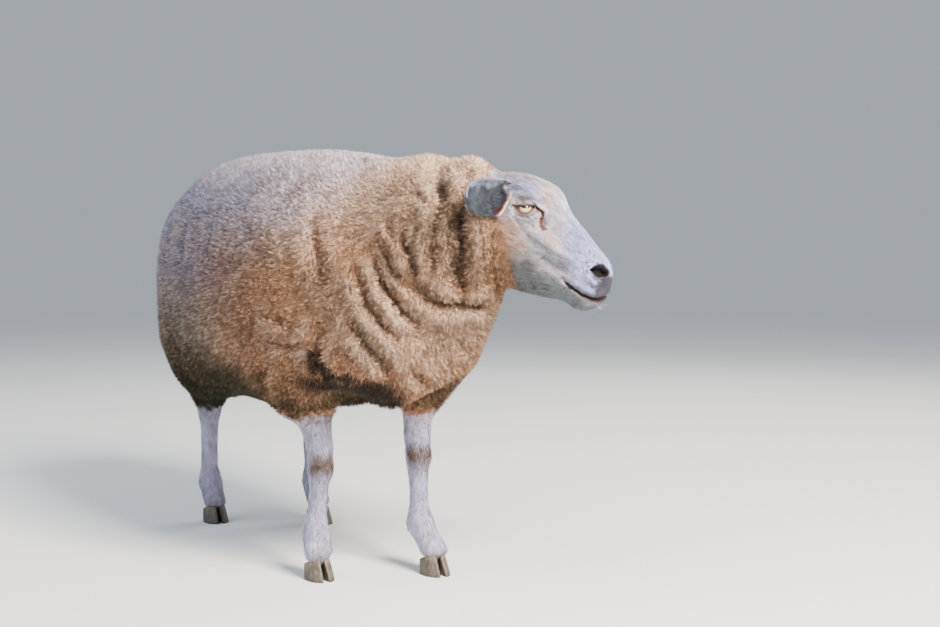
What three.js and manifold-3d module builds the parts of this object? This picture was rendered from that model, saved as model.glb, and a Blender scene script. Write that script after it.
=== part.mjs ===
// A life-size Texel sheep, standing, with its head turned to its left. Millimetres, +Z up.
//
// The animal is first described in a frame of its own: X forward along the back, Y to its left,
// the floor at Z 0 and the origin midway between its feet. The surface is the outer one: the tips
// of the fleece on the body, and the short hair on the face and the lower legs.
// One smooth field holds the whole form. Each named part is meshed from that field as finely as
// it needs and is cut from its neighbours by thin planes.

import * as THREE from 'three';
import { mergeVertices } from 'three/addons/utils/BufferGeometryUtils.js';
import Module from 'manifold-3d';

const wasm = await Module();
wasm.setup();

// ---------- Driving dimensions ----------

const GAP = 0.4; // left between two parts that touch
const MARGIN = 3.2; // grid steps that a part's mesh runs on past its cuts
const BACK_HEIGHT = 800; // floor to the tips of the fleece on the back
const BELLY_HEIGHT = 284;
const BARREL_HALF_WIDTH = 262;

const HEAD_YAW = 59; // degrees that the head turns to the left of the back
const HEAD_PITCH = 35; // degrees that the face slopes down
const HEAD_ORIGIN = [460, 139, 655]; // the head frame's origin, inside the skull

// In the head's frame: along the face, above its axis, out to the side.
const EYE_PLACE = [31, 56, 53];
const EYE_RADIUS = 15.5;
const EAR_ROOT = [-2, 52, 45];
const EAR_TIP = [-46, 16, 142];
const EAR_WIDTH = 58;
const EAR_THICKNESS = 7;
const NOSTRIL_PLACE = [209, 43, 32];

const CLAW_LENGTH = 62;
const CLAW_WIDTH = 24;
const TOE_HEIGHT = 40;
const HEEL_HEIGHT = 24;

// Where each leg's joints are: [x, y, z]. Each foot is where its step has put it.
const LEGS = [
  { name: 'leg_fore_right', side: -1, fore: true,
    elbow: [200, -126, 420], knee: [230, -96, 216], fetlock: [222, -102, 84], foot: [250, -105, 0] },
  { name: 'leg_fore_left', side: 1, fore: true,
    elbow: [214, 122, 420], knee: [260, 92, 224], fetlock: [266, 93, 88], foot: [318, 101, 0] },
  { name: 'leg_hind_right', side: -1, fore: false,
    stifle: [-236, -132, 400], hock: [-388, -94, 250], fetlock: [-378, -96, 84], foot: [-340, -96, 0] },
  { name: 'leg_hind_left', side: 1, fore: false,
    stifle: [-150, 132, 400], hock: [-270, 100, 250], fetlock: [-256, 98, 84], foot: [-218, 98, 0] },
];

// ---------- Fields: negative inside, about a distance in millimetres outside ----------

const { hypot, abs, max, min, pow, sign } = Math;
const degrees = THREE.MathUtils.degToRad;
const mix = (a, b, t) => a + (b - a) * t;
const along = (a, b, t) => a.map((v, i) => mix(v, b[i], t));
const offset = (a, dx, dy, dz) => [a[0] + dx, a[1] + dy, a[2] + dz];

// Joins two fields with a fillet of about width k.
function blend(a, b, k) {
  const h = max(k - abs(a - b), 0) / k;
  return min(a, b) - h * h * k / 4;
}

// Takes the second field away from the first, with the edge rounded over about width k.
function carve(a, b, k) {
  return -blend(-a, b, k);
}

// An ellipsoid, squarer as power rises over 2, turned by yaw about Z and then pitched nose down.
function ellipsoid(centre, radii, { power = 2, yaw = 0, pitch = 0, roll = 0 } = {}) {
  const turn = new THREE.Matrix4().makeRotationFromEuler(
    new THREE.Euler(degrees(roll), degrees(pitch), degrees(yaw), 'ZYX')).transpose().elements;
  return (x, y, z) => {
    const dx = x - centre[0], dy = y - centre[1], dz = z - centre[2];
    const u = turn[0] * dx + turn[4] * dy + turn[8] * dz;
    const v = turn[1] * dx + turn[5] * dy + turn[9] * dz;
    const w = turn[2] * dx + turn[6] * dy + turn[10] * dz;
    const sum = [u, v, w].reduce((s, c, i) => s + pow(abs(c / radii[i]), power), 0);
    const q = pow(sum, 1 / power);
    return q < 1e-6 ? -min(...radii) : hypot(u, v, w) * (1 - 1 / q);
  };
}

// A limb between two points, round, with its own radius at each end.
function limb(a, b, ra, rb) {
  const ba = b.map((v, i) => v - a[i]);
  const length2 = ba.reduce((s, v) => s + v * v, 0);
  return (x, y, z) => {
    const px = x - a[0], py = y - a[1], pz = z - a[2];
    const t = min(1, max(0, (px * ba[0] + py * ba[1] + pz * ba[2]) / length2));
    return hypot(px - t * ba[0], py - t * ba[1], pz - t * ba[2]) - mix(ra, rb, t);
  };
}

// Joins many fields. Each entry is [field, fillet].
function together(parts) {
  return (x, y, z) => {
    let d = parts[0][0](x, y, z);
    for (let i = 1; i < parts.length; i++) d = blend(d, parts[i][0](x, y, z), parts[i][1]);
    return d;
  };
}

// ---------- The trunk, in fleece ----------

function trunkField() {
  const middle = (BACK_HEIGHT + BELLY_HEIGHT) / 2;
  const half = (BACK_HEIGHT - BELLY_HEIGHT) / 2;
  const body = together([
    [ellipsoid([-20, 0, middle], [360, BARREL_HALF_WIDTH, half], { power: 2.3 }), 0],
    [ellipsoid([-250, 0, 545], [215, 232, 232], { power: 2.3 }), 90], // the rump
    [ellipsoid([205, 0, 530], [205, 228, 228], { power: 2.3 }), 90], // shoulders and chest
    [ellipsoid([311, 13, 462], [140, 178, 142]), 50], // the brisket
    [limb([-440, 0, 640], [-484, 0, 505], 40, 34), 26], // the docked tail
  ]);
  const armpit = limb([400, 130, 296], [110, 0, 270], 74, 64);
  return (x, y, z) => carve(body(x, y, z), armpit(x, abs(y), z), 34);
}

// ---------- The neck, in fleece, bent to the left ----------

function neckField() {
  return together([
    [limb([215, 0, 582], [330, 42, 626], 197, 152), 0],
    [ellipsoid([380, 84, 622], [80, 136, 146], { yaw: 42, pitch: -8 }), 50], // the ruff
    [ellipsoid([426, 116, 646], [62, 116, 138], { yaw: 59 }), 26], // the roll behind the cheeks
    [ellipsoid([386, 98, 540], [88, 112, 92], { yaw: 59 }), 40], // the throat
  ]);
}

// ---------- The head ----------

// From the animal's frame to the head's: t along the face to the nose, n up from its axis,
// and w out to the head's right side.
const headMatrix = new THREE.Matrix4()
  .makeTranslation(...HEAD_ORIGIN)
  .multiply(new THREE.Matrix4().makeRotationZ(degrees(HEAD_YAW)))
  .multiply(new THREE.Matrix4().makeRotationY(degrees(HEAD_PITCH)));

function headPoint([t, n, w]) {
  return new THREE.Vector3(t, -w, n).applyMatrix4(headMatrix).toArray();
}

// The face's profile, from the back of the skull to the lips:
// [t, top, height of the widest place, bottom, half width]
const FACE = [
  [-60, 60, 0, -90, 40],
  [-30, 92, 10, -112, 57],
  [0, 109, 22, -107, 64],
  [30, 116.5, 32, -97, 67],
  [55, 119.5, 38, -88, 66],
  [75, 114.5, 36, -80, 61],
  [92, 102, 30, -74, 56],
  [110, 94, 26, -67, 52],
  [130, 88.5, 22, -60, 48],
  [155, 81.5, 18, -50, 44],
  [182, 73.5, 14, -38, 41],
  [205, 67, 14, -36, 40.5],
  [217, 61, 14, -35, 38],
  [226, 49, 14, -28, 33],
  [235, 34, 12, -14, 24],
  [241, 22, 12, -2, 6],
];

function faceField() {
  const first = FACE[0][0], last = FACE[FACE.length - 1][0];
  const keys = new THREE.CubicInterpolant(FACE.map(row => row[0]), FACE.flatMap(row => row.slice(1)), 4);
  return (t, n, w) => {
    const beyond = max(first - t, t - last, 0);
    const [top, wide, bottom, half] = keys.evaluate(min(last, max(first, t)));
    const v = n - wide, up = v > 0;
    const a = up ? top - wide : wide - bottom;
    const power = up ? 2.3 : 1.95;
    const q = pow(pow(abs(v / a), power) + pow(abs(w / half), power), 1 / power);
    const d = q < 1e-6 ? -min(a, half) : hypot(v, w) * (1 - 1 / q);
    return beyond ? hypot(max(d, 0), beyond) : d;
  };
}

// A field in the head's frame, with the same on both sides, as one in the animal's frame.
function onHead(field) {
  const back = headMatrix.clone().invert().elements;
  return (x, y, z) => field(
    back[0] * x + back[4] * y + back[8] * z + back[12],
    back[2] * x + back[6] * y + back[10] * z + back[14],
    abs(back[1] * x + back[5] * y + back[9] * z + back[13]));
}

function headField() {
  return onHead(together([
    [faceField(), 0],
    [ellipsoid([36, 80, 50], [34, 17, 19], { pitch: 6 }), 14], // the brow over the eye
    [ellipsoid([42, -20, 40], [56, 48, 24], { pitch: 22 }), 26], // the cheek
    [ellipsoid([204, 40, 26], [26, 22, 17]), 12], // the wing of the nostril
    [ellipsoid([217, 16, 14], [19, 15, 22]), 12], // the upper lip
    [ellipsoid([208, -21, 9], [18, 13, 18]), 12], // the chin
  ]));
}

// ---------- The legs ----------

function legField(leg) {
  const { fetlock, foot } = leg;
  const coronet = offset(foot, -14, 0, 44);
  const lower = [
    [ellipsoid(fetlock, [23, 21, 23]), 20],
    [limb(fetlock, coronet, 20, 20), 20],
    [limb(offset(coronet, 8, 11, 0), offset(coronet, -6, 11, 4), 18, 15), 12],
    [limb(offset(coronet, 8, -11, 0), offset(coronet, -6, -11, 4), 18, 15), 12],
  ];
  if (leg.fore) {
    const { elbow, knee } = leg;
    return together([
      [limb(elbow, offset(knee, -4, 0, 40), 50, 25), 0],
      [ellipsoid(knee, [27, 25, 38]), 22],
      [limb(offset(knee, 2, 0, -20), offset(fetlock, 2, 0, 10), 17.5, 16), 18],
      [limb(offset(knee, -14, 0, -20), offset(fetlock, -12, 0, 8), 11, 12), 14],
      ...lower,
    ]);
  }
  const { stifle, hock } = leg;
  return together([
    [limb(stifle, offset(hock, 10, 0, 24), 66, 26), 0],
    [ellipsoid(offset(hock, -4, 0, 0), [30, 22, 34], { pitch: -20 }), 20],
    [limb(offset(hock, 2, 0, -20), offset(fetlock, 0, 0, 10), 18, 17), 20],
    [limb(offset(hock, -20, 0, -16), offset(fetlock, -14, 0, 8), 11, 12), 16],
    ...lower,
  ]);
}

// The fleece on the upper leg, which ends in a thick cuff.
function cuffField(leg) {
  if (leg.fore) {
    const { elbow, knee, side } = leg;
    return together([
      [ellipsoid(offset(elbow, -4, side * 4, -10), [92, 62, 116], { pitch: -10 }), 0],
      [limb(elbow, offset(knee, -12, 0, 116), 62, 42), 30],
    ]);
  }
  const { stifle, hock, side } = leg;
  return together([
    [ellipsoid(offset(stifle, -14, 0, 44), [150, 92, 150], { pitch: -28 }), 0],
    [limb(stifle, offset(hock, 10, side * 4, 34), 106, 43), 36],
  ]);
}

// ---------- The whole form ----------

const legFields = LEGS.map(legField);
const fleece = together([
  [trunkField(), 0],
  [neckField(), 46],
  ...LEGS.map(leg => [cuffField(leg), 46]),
]);
const bare = together([[headField(), 0], ...legFields.map(f => [f, 1])]);
const sheep = (x, y, z) => blend(fleece(x, y, z), bare(x, y, z), 9);

// ---------- Meshing a field ----------

// A closed mesh of a field's surface inside a box of a frame, of about count triangles. A grid
// gives one vertex for each of its cells that the surface passes through. These are spread
// evenly over the surface, and then thinned where it is flattest.
function meshField(field, low, high, steps, count, frame = new THREE.Matrix4()) {
  const e = frame.elements;
  const shape = (x, y, z) => max(
    field(e[0] * x + e[4] * y + e[8] * z + e[12], e[1] * x + e[5] * y + e[9] * z + e[13],
      e[2] * x + e[6] * y + e[10] * z + e[14]),
    low[0] + steps[0] - x, x - high[0] + steps[0], low[1] + steps[1] - y, y - high[1] + steps[1],
    low[2] + steps[2] - z, z - high[2] + steps[2]);
  const n = low.map((v, i) => Math.ceil((high[i] - v) / steps[i]) + 1);
  const at = (i, j, k) => (k * n[1] + j) * n[0] + i;
  const corner = new Float64Array(n[0] * n[1] * n[2]);
  for (let k = 0; k < n[2]; k++) for (let j = 0; j < n[1]; j++) for (let i = 0; i < n[0]; i++) {
    corner[at(i, j, k)] = shape(low[0] + i * steps[0], low[1] + j * steps[1], low[2] + k * steps[2]);
  }

  const points = [], cellVertex = new Map();
  for (let k = 0; k < n[2] - 1; k++) for (let j = 0; j < n[1] - 1; j++) for (let i = 0; i < n[0] - 1; i++) {
    let count = 0;
    const sum = [0, 0, 0];
    for (let axis = 0; axis < 3; axis++) for (let a = 0; a < 2; a++) for (let b = 0; b < 2; b++) {
      const c = [0, 0, 0];
      c[(axis + 1) % 3] = a;
      c[(axis + 2) % 3] = b;
      const next = [...c];
      next[axis] = 1;
      const d0 = corner[at(i + c[0], j + c[1], k + c[2])];
      const d1 = corner[at(i + next[0], j + next[1], k + next[2])];
      if (d0 < 0 === d1 < 0) continue;
      count++;
      c[axis] = d0 / (d0 - d1);
      c.forEach((v, m) => { sum[m] += v; });
    }
    if (!count) continue;
    cellVertex.set(at(i, j, k), points.length);
    points.push([i, j, k].map((v, m) => low[m] + (v + sum[m] / count) * steps[m]));
  }

  const triangles = [];
  for (let k = 1; k < n[2] - 1; k++) for (let j = 1; j < n[1] - 1; j++) for (let i = 1; i < n[0] - 1; i++) {
    for (let axis = 0; axis < 3; axis++) {
      const next = [i, j, k];
      next[axis]++;
      const inside = corner[at(i, j, k)] < 0;
      if (inside === corner[at(...next)] < 0) continue;
      const cell = (a, b) => {
        const c = [i, j, k];
        c[(axis + 1) % 3] -= a;
        c[(axis + 2) % 3] -= b;
        return cellVertex.get(at(...c));
      };
      const quad = [cell(0, 0), cell(1, 0), cell(1, 1), cell(0, 1)];
      if (!inside) quad.reverse();
      triangles.push(quad[0], quad[1], quad[2], quad[0], quad[2], quad[3]);
    }
  }

  const onto = surfaceFinder(shape, min(...steps) / 2);
  settle(points, triangles, onto);
  const kept = thin(points, triangles, count);
  return new THREE.BufferGeometry()
    .setAttribute('position', new THREE.Float32BufferAttribute(points.flatMap(onto), 3))
    .setIndex(kept)
    .applyMatrix4(frame);
}

// Gives a function that moves a point onto the surface, by no more than farthest.
function surfaceFinder(shape, farthest) {
  const h = 0.5;
  const step = ([x, y, z]) => {
    const d = shape(x, y, z);
    const g = [shape(x + h, y, z) - d, shape(x, y + h, z) - d, shape(x, y, z + h) - d].map(v => v / h);
    const move = max(-farthest, min(farthest, d)) / max(0.25, g[0] * g[0] + g[1] * g[1] + g[2] * g[2]);
    return [x - move * g[0], y - move * g[1], z - move * g[2]];
  };
  return p => step(step(p));
}

// Moves each vertex towards its neighbours' middle and back onto the surface, a few times.
function settle(points, triangles, onto) {
  const near = points.map(() => new Set());
  for (let f = 0; f < triangles.length; f += 3) {
    const [a, b, c] = triangles.slice(f, f + 3);
    near[a].add(b).add(c);
    near[b].add(a).add(c);
    near[c].add(a).add(b);
  }
  for (let pass = 0; pass < 3; pass++) {
    const middle = points.map((p, i) => {
      const sum = [0, 0, 0];
      for (const j of near[i]) points[j].forEach((v, m) => { sum[m] += v; });
      return p.map((v, m) => mix(v, sum[m] / near[i].size, 0.4));
    });
    middle.forEach((p, i) => { points[i] = onto(p); });
  }
}

const SLIVER = 0.05; // twice the area of a triangle that may turn over as it goes
const minus = (a, b) => [a[0] - b[0], a[1] - b[1], a[2] - b[2]];
const dot = (a, b) => a[0] * b[0] + a[1] * b[1] + a[2] * b[2];
const cross = (a, b) => [a[1] * b[2] - a[2] * b[1], a[2] * b[0] - a[0] * b[2], a[0] * b[1] - a[1] * b[0]];

// Collapses the edges that matter least until about count triangles are left, or until the next
// would cost over dearest. The cost of one is its squared distance from the planes it stood for,
// times their area, with a little for its length.
function thin(points, triangles, count, dearest = Infinity) {
  let faces = [];
  for (let f = 0; f < triangles.length; f += 3) faces.push(triangles.slice(f, f + 3));
  const normal = ([a, b, c]) => cross(minus(points[b], points[a]), minus(points[c], points[a]));
  const planes = points.map(() => new Float64Array(10));
  for (const face of faces) {
    const n = normal(face), area = hypot(...n) || 1e-9;
    const q = [...n.map(v => v / area), -dot(n, points[face[0]]) / area];
    let m = 0;
    for (let i = 0; i < 4; i++) for (let j = i; j < 4; j++, m++) {
      for (const v of face) planes[v][m] += area * q[i] * q[j];
    }
  }
  const error = (a, b, p) => {
    const q = [...p, 1];
    let sum = 0, m = 0;
    for (let i = 0; i < 4; i++) for (let j = i; j < 4; j++, m++) {
      sum += (planes[a][m] + planes[b][m]) * q[i] * q[j] * (i === j ? 1 : 2);
    }
    return sum;
  };

  for (let before = Infinity; faces.length > count && faces.length < before;) {
    before = faces.length;
    const around = points.map(() => []);
    for (const face of faces) for (const v of face) around[v].push(face);
    const edges = [];
    for (const [a, b, c] of faces) for (const [v, w] of [[a, b], [b, c], [c, a]]) {
      if (v > w) continue;
      const length = hypot(...minus(points[v], points[w]));
      const p = along(points[v], points[w], 0.5);
      edges.push({ v, w, p, cost: error(v, w, p) + 2e-4 * length ** 4 });
    }
    edges.sort((e, f) => e.cost - f.cost);

    const busy = new Set(), gone = new Set();
    for (const { v, w, p, cost } of edges) {
      if (faces.length - gone.size <= count || gone.size > faces.length / 6 || cost > dearest) break;
      const ring = u => new Set(around[u].flat().filter(x => x !== u));
      const rings = [ring(v), ring(w)];
      const both = [...rings[0]].filter(x => rings[1].has(x));
      if (both.length !== 2 || [...rings[0], ...rings[1]].some(x => busy.has(x))) continue;
      const shared = around[v].filter(face => face.includes(w));
      const moved = [...around[v], ...around[w]].filter(face => !shared.includes(face));
      const old = [points[v], points[w]];
      const from = moved.map(normal);
      points[v] = points[w] = p;
      const fine = moved.every((face, i) => {
        const n = normal(face);
        return hypot(...from[i]) < SLIVER || dot(n, from[i]) > 0.5 * hypot(...n) * hypot(...from[i]);
      });
      if (!fine) {
        [points[v], points[w]] = old;
        continue;
      }
      for (const face of moved) face.forEach((x, i) => { if (x === w) face[i] = v; });
      planes[w].forEach((x, m) => { planes[v][m] += x; });
      shared.forEach(face => gone.add(face));
      for (const x of [v, w, ...rings[0], ...rings[1]]) busy.add(x);
    }
    faces = faces.filter(face => !gone.has(face));
  }
  return compact(points, faces);
}

// Drops the points that no face uses and gives the faces as one list.
function compact(points, faces) {
  const used = [...new Set(faces.flat())];
  const place = new Map(used.map((v, i) => [v, i]));
  points.splice(0, points.length, ...used.map(v => points[v]));
  return faces.flat().map(v => place.get(v));
}

// ---------- Solids ----------

const SHORT_EDGE = 0.35;

function solid(geometry) {
  const g = geometry.clone();
  g.deleteAttribute('normal');
  g.deleteAttribute('uv');
  const merged = mergeVertices(g, 1e-3);
  return new wasm.Manifold(new wasm.Mesh({
    numProp: 3,
    vertProperties: merged.attributes.position.array,
    triVerts: new Uint32Array(merged.index.array),
  }));
}

// A solid's geometry, without the tiny edges that a cut leaves.
function geometryOf(manifold) {
  const { vertProperties, triVerts } = manifold.getMesh();
  const points = [];
  for (let i = 0; i < vertProperties.length; i += 3) points.push([...vertProperties.slice(i, i + 3)]);
  const kept = thin(points, [...triVerts], 0, 2e-4 * SHORT_EDGE ** 4);
  return new THREE.BufferGeometry()
    .setAttribute('position', new THREE.Float32BufferAttribute(points.flat(), 3))
    .setIndex(kept);
}

// The largest of a solid's separate bodies.
function mainBody(manifold) {
  return manifold.decompose().reduce((a, b) => (b.volume() > a.volume() ? b : a));
}

// A box between two corners, grown by more on every side, in the frame that matrix places.
function block(low, high, grow = 0, matrix = new THREE.Matrix4()) {
  const size = high.map((v, i) => v - low[i] + 2 * grow);
  const g = new THREE.BoxGeometry(...size);
  g.translate(...low.map((v, i) => (v + high[i]) / 2));
  return solid(g.applyMatrix4(matrix));
}

// ---------- Where the parts are cut ----------

const frameAt = (origin, yaw, pitch) => new THREE.Matrix4().makeTranslation(...origin)
  .multiply(new THREE.Matrix4().makeRotationZ(degrees(yaw)))
  .multiply(new THREE.Matrix4().makeRotationY(degrees(pitch)));

// Each cut is a box in a frame of its own: the part is what lies inside it.
const HEAD_CUT = {
  frame: frameAt(headPoint([10, 8, 0]), HEAD_YAW, 0), low: [0, -170, -162], high: [270, 170, 120],
};
const NECK_CUT = { frame: frameAt([318, 36, 640], 24, -34), low: [0, -300, -300], high: [330, 300, 300] };
const TAIL_CUT = { frame: frameAt([-462, 0, 575], 0, -14), low: [-90, -46, -120], high: [0, 46, 90] };

function legCut(leg) {
  const [x, y] = leg.fore ? leg.elbow : along(leg.stifle, leg.hock, 0.4);
  const [back, front, top] = leg.fore ? [110, 160, 336] : [230, 130, 350];
  const across = leg.side > 0 ? [38, 260] : [-260, -38];
  return { frame: new THREE.Matrix4(), low: [x - back, across[0], -20], high: [x + front, across[1], top] };
}

const region = (cut, grow = 0) => block(cut.low, cut.high, grow, cut.frame);

// The field's surface in a cut's box and a little beyond.
function meshedIn(cut, step, count) {
  const low = cut.low.map(v => v - MARGIN * step), high = cut.high.map(v => v + MARGIN * step);
  return solid(meshField(sheep, low, high, [step, step, step], count, cut.frame));
}

// ---------- Eyes, ears, nostrils and claws ----------

const onFace = ([t, n, w], side) => headPoint([t, n, side * w]);

function ball(place, radius, scale = [1, 1, 1], detail = 11) {
  const g = new THREE.SphereGeometry(radius, detail, detail * 0.7);
  return solid(g.scale(...scale).translate(...place));
}

// An ear is a cupped leaf. Here u runs from its root to its tip, v across it, and its hollow
// faces forward.
function earAt(side, grow = 0) {
  const root = new THREE.Vector3(...onFace(EAR_ROOT, side));
  const out = new THREE.Vector3(...onFace(EAR_TIP, side)).sub(root);
  const length = out.length();
  out.normalize();
  const up = new THREE.Vector3(0, 0, 1).addScaledVector(out, -out.z).normalize();
  const front = new THREE.Vector3().crossVectors(up, out).multiplyScalar(side);
  const half = u => EAR_WIDTH / 2 * max(0.05, pow(Math.sin(Math.PI * pow(mix(0.12, 1, u), 1.1)), 0.45));
  const at = (u, v, face) => {
    const wide = half(u);
    const cup = mix(34, 12, u) * v * v * wide / (EAR_WIDTH / 2);
    const thick = (EAR_THICKNESS / 2 + grow) * Math.sqrt(1 - v * v) * mix(1.2, 0.7, u);
    return root.clone()
      .addScaledVector(out, u * length)
      .addScaledVector(up, (wide + grow) * v)
      .addScaledVector(front, cup + face * thick + 12 * Math.sin(Math.PI * u) - 10);
  };
  const rows = 10, columns = 6, ring = 2 * columns;
  const points = [], triangles = [];
  for (let i = 0; i <= rows; i++) for (let j = 0; j < ring; j++) {
    const v = -Math.cos(Math.PI * min(j, ring - j) / columns);
    points.push(at(i / rows, v, sign(columns - j) * (j % columns ? 1 : 0)));
  }
  for (let i = 0; i < rows; i++) for (let j = 0; j < ring; j++) {
    const a = i * ring + j, b = i * ring + (j + 1) % ring;
    triangles.push(a, b, b + ring, a, b + ring, a + ring);
  }
  for (let j = 1; j < ring - 1; j++) {
    triangles.push(0, j + 1, j, rows * ring, rows * ring + j, rows * ring + j + 1);
  }
  if (side < 0) triangles.reverse();
  return solid(new THREE.BufferGeometry()
    .setAttribute('position', new THREE.Float32BufferAttribute(points.flatMap(p => p.toArray()), 3))
    .setIndex(triangles));
}

// One claw of a foot, from its flat sole to the coronet, with a straight inner side.
function clawAt(leg, side, grow = 0) {
  const w = CLAW_WIDTH + 2 * grow, l = CLAW_LENGTH + 2 * grow;
  const sole = new THREE.Shape();
  sole.moveTo(-l / 2, 0);
  sole.lineTo(l / 2 - 3, 0);
  sole.quadraticCurveTo(l / 2, w * 0.1, l / 2 - 3, w * 0.25);
  sole.bezierCurveTo(l * 0.3, w * 0.85, l * 0.08, w, -l * 0.16, w);
  sole.bezierCurveTo(-l * 0.36, w, -l / 2, w * 0.75, -l / 2, w * 0.3);
  const g = new THREE.ExtrudeGeometry(sole, { depth: 1, steps: 1, bevelEnabled: false, curveSegments: 4 });
  const p = g.attributes.position;
  for (let i = 0; i < p.count; i++) {
    const x = p.getX(i), y = p.getY(i), s = p.getZ(i);
    const height = mix(HEEL_HEIGHT, TOE_HEIGHT, x / l + 0.5) + grow;
    p.setXYZ(i, (x + l / 2) * (1 - 0.36 * s) - l / 2 - 2 * s, side * (y * (1 - 0.1 * s) - grow), s * height);
  }
  if (side < 0) turnInsideOut(p.array);
  return solid(g.applyMatrix4(new THREE.Matrix4().makeTranslation(leg.foot[0], leg.foot[1] + side * 3.4, 0)
    .multiply(new THREE.Matrix4().makeRotationZ(degrees(side * 3.5)))));
}

// Reverses each triangle of a list of separate ones.
function turnInsideOut(p) {
  for (let f = 0; f < p.length; f += 9) {
    const first = p.slice(f, f + 3);
    p.copyWithin(f, f + 3, f + 6);
    p.set(first, f + 3);
  }
}

// A dewclaw, one of the two short cones behind the fetlock.
function dewclawAt(leg, side, grow = 0) {
  const g = new THREE.ConeGeometry(8 + grow, 24 + grow, 8);
  g.rotateX(-Math.PI / 2).rotateY(degrees(20));
  return solid(g.translate(leg.fetlock[0] - 24, leg.fetlock[1] + side * 12, leg.fetlock[2] - 10));
}

// ---------- Colours ----------

const finish = (color, roughness) => new THREE.MeshStandardMaterial({ color, roughness, metalness: 0 });
const MATERIALS = {
  fleece: finish(0xb9a27f, 0.95),
  face: finish(0xd9d2cb, 0.8),
  horn: finish(0x4a4038, 0.5),
  eye: finish(0xb59a4d, 0.1),
};

// ---------- The named parts ----------

const model = new THREE.Group();

function add(name, manifold, material) {
  const mesh = new THREE.Mesh(geometryOf(mainBody(manifold)), material);
  mesh.name = name;
  model.add(mesh);
}

const legCuts = LEGS.map(legCut);

let trunk = solid(meshField(sheep, [-620, -340, 150], [560, 420, 860], [24, 24, 24], 2600));
for (const cut of [NECK_CUT, HEAD_CUT, TAIL_CUT, ...legCuts]) trunk = trunk.subtract(region(cut, GAP));
add('trunk', trunk, MATERIALS.fleece);
add('neck', meshedIn(NECK_CUT, 20, 1000).intersect(region(NECK_CUT)).subtract(region(HEAD_CUT, GAP)),
  MATERIALS.fleece);
add('tail', meshedIn(TAIL_CUT, 15, 300).intersect(region(TAIL_CUT)), MATERIALS.fleece);

let head = meshedIn(HEAD_CUT, 8, 2400);
const headWithNeck = head;
head = head.intersect(region(HEAD_CUT));
for (const [word, side] of [['right', 1], ['left', -1]]) {
  const ear = earAt(side).subtract(meshedIn(NECK_CUT, 20, 1000)).subtract(headWithNeck);
  const eye = onFace(EYE_PLACE, side), nostril = onFace(NOSTRIL_PLACE, side);
  head = head.subtract(earAt(side, GAP)).subtract(ball(eye, EYE_RADIUS + GAP))
    .subtract(ball(nostril, 8, [1, 1, 1.2], 8));
  add('ear_' + word, ear, MATERIALS.face);
  add('eye_' + word, ball(eye, EYE_RADIUS), MATERIALS.eye);
}
add('head', head, MATERIALS.face);

LEGS.forEach((leg, i) => {
  const place = leg.name.slice(4);
  let body = meshedIn(legCuts[i], 11, 620).intersect(region(legCuts[i]));
  for (const [word, side] of [['outer', leg.side], ['inner', -leg.side]]) {
    body = body.subtract(clawAt(leg, side, GAP)).subtract(dewclawAt(leg, side, GAP));
    add(`claw_${place}_${word}`, clawAt(leg, side), MATERIALS.horn);
    add(`dewclaw_${place}_${word}`, dewclawAt(leg, side), MATERIALS.horn);
  }
  add(leg.name, body, MATERIALS.face);
});

// ---------- The part's own frame: the middle of its box, on the floor ----------

model.rotation.z = -Math.PI / 2; // the animal faces -Y
const box = new THREE.Box3().setFromObject(model);
const middle = box.getCenter(new THREE.Vector3());
model.position.set(-middle.x, -middle.y, -box.min.z);

export default model;
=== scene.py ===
"""A life-size Texel sheep, standing, with its head turned to its left.

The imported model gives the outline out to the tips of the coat. Here one skin takes the place of
all its flesh, a coat of wool and short hair grows from the skin, and the eyes, claws and
dewclaws are made again in fine detail. Metres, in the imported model's frame.
"""
import math

import bmesh
import bpy
import numpy as np
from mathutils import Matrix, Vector
from mathutils.kdtree import KDTree


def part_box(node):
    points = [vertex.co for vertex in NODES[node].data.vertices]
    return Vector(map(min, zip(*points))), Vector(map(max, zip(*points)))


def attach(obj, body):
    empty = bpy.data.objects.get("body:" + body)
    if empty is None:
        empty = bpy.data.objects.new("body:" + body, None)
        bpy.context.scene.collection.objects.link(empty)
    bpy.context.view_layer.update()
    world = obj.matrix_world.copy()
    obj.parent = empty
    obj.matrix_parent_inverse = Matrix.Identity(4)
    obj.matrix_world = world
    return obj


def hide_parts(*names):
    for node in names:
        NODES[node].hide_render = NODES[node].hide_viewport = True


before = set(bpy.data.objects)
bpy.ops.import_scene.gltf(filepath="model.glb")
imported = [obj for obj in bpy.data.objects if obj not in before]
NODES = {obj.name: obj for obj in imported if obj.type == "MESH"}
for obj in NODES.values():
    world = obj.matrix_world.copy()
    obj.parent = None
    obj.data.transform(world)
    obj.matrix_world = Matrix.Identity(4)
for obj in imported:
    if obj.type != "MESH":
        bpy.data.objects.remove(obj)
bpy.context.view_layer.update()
SCENE = bpy.context.scene
rng = np.random.default_rng(12)

LEGS = ["fore_right", "fore_left", "hind_right", "hind_left"]
SIDES = {"right": 1, "left": -1}
FLESH = ["trunk", "neck", "tail", "head"] + ["leg_" + leg for leg in LEGS]
EARS = ["ear_right", "ear_left"]
OUT_AGAIN = -1.04

# ---------- Small tools ----------


def unit(v):
    v = np.asarray(v, float)
    return v / np.maximum(np.linalg.norm(v, axis=-1, keepdims=True), 1e-12)


def along_skin(v, n):
    """The part of each direction that lies in the surface."""
    return unit(v - np.sum(v * n, 1, keepdims=True) * n)


def ease(a, b, x):
    """0 on a's side and 1 on b's, smooth between them."""
    t = np.clip((x - a) / (b - a), 0, 1)
    return t * t * (3 - 2 * t)


def mix(a, b, t):
    return a + (b - a) * t


def near(x, centre, width):
    """1 at the centre, falling smoothly to 0 at about 2 widths away."""
    return np.exp(-(((x - centre) / width) ** 2))


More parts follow.
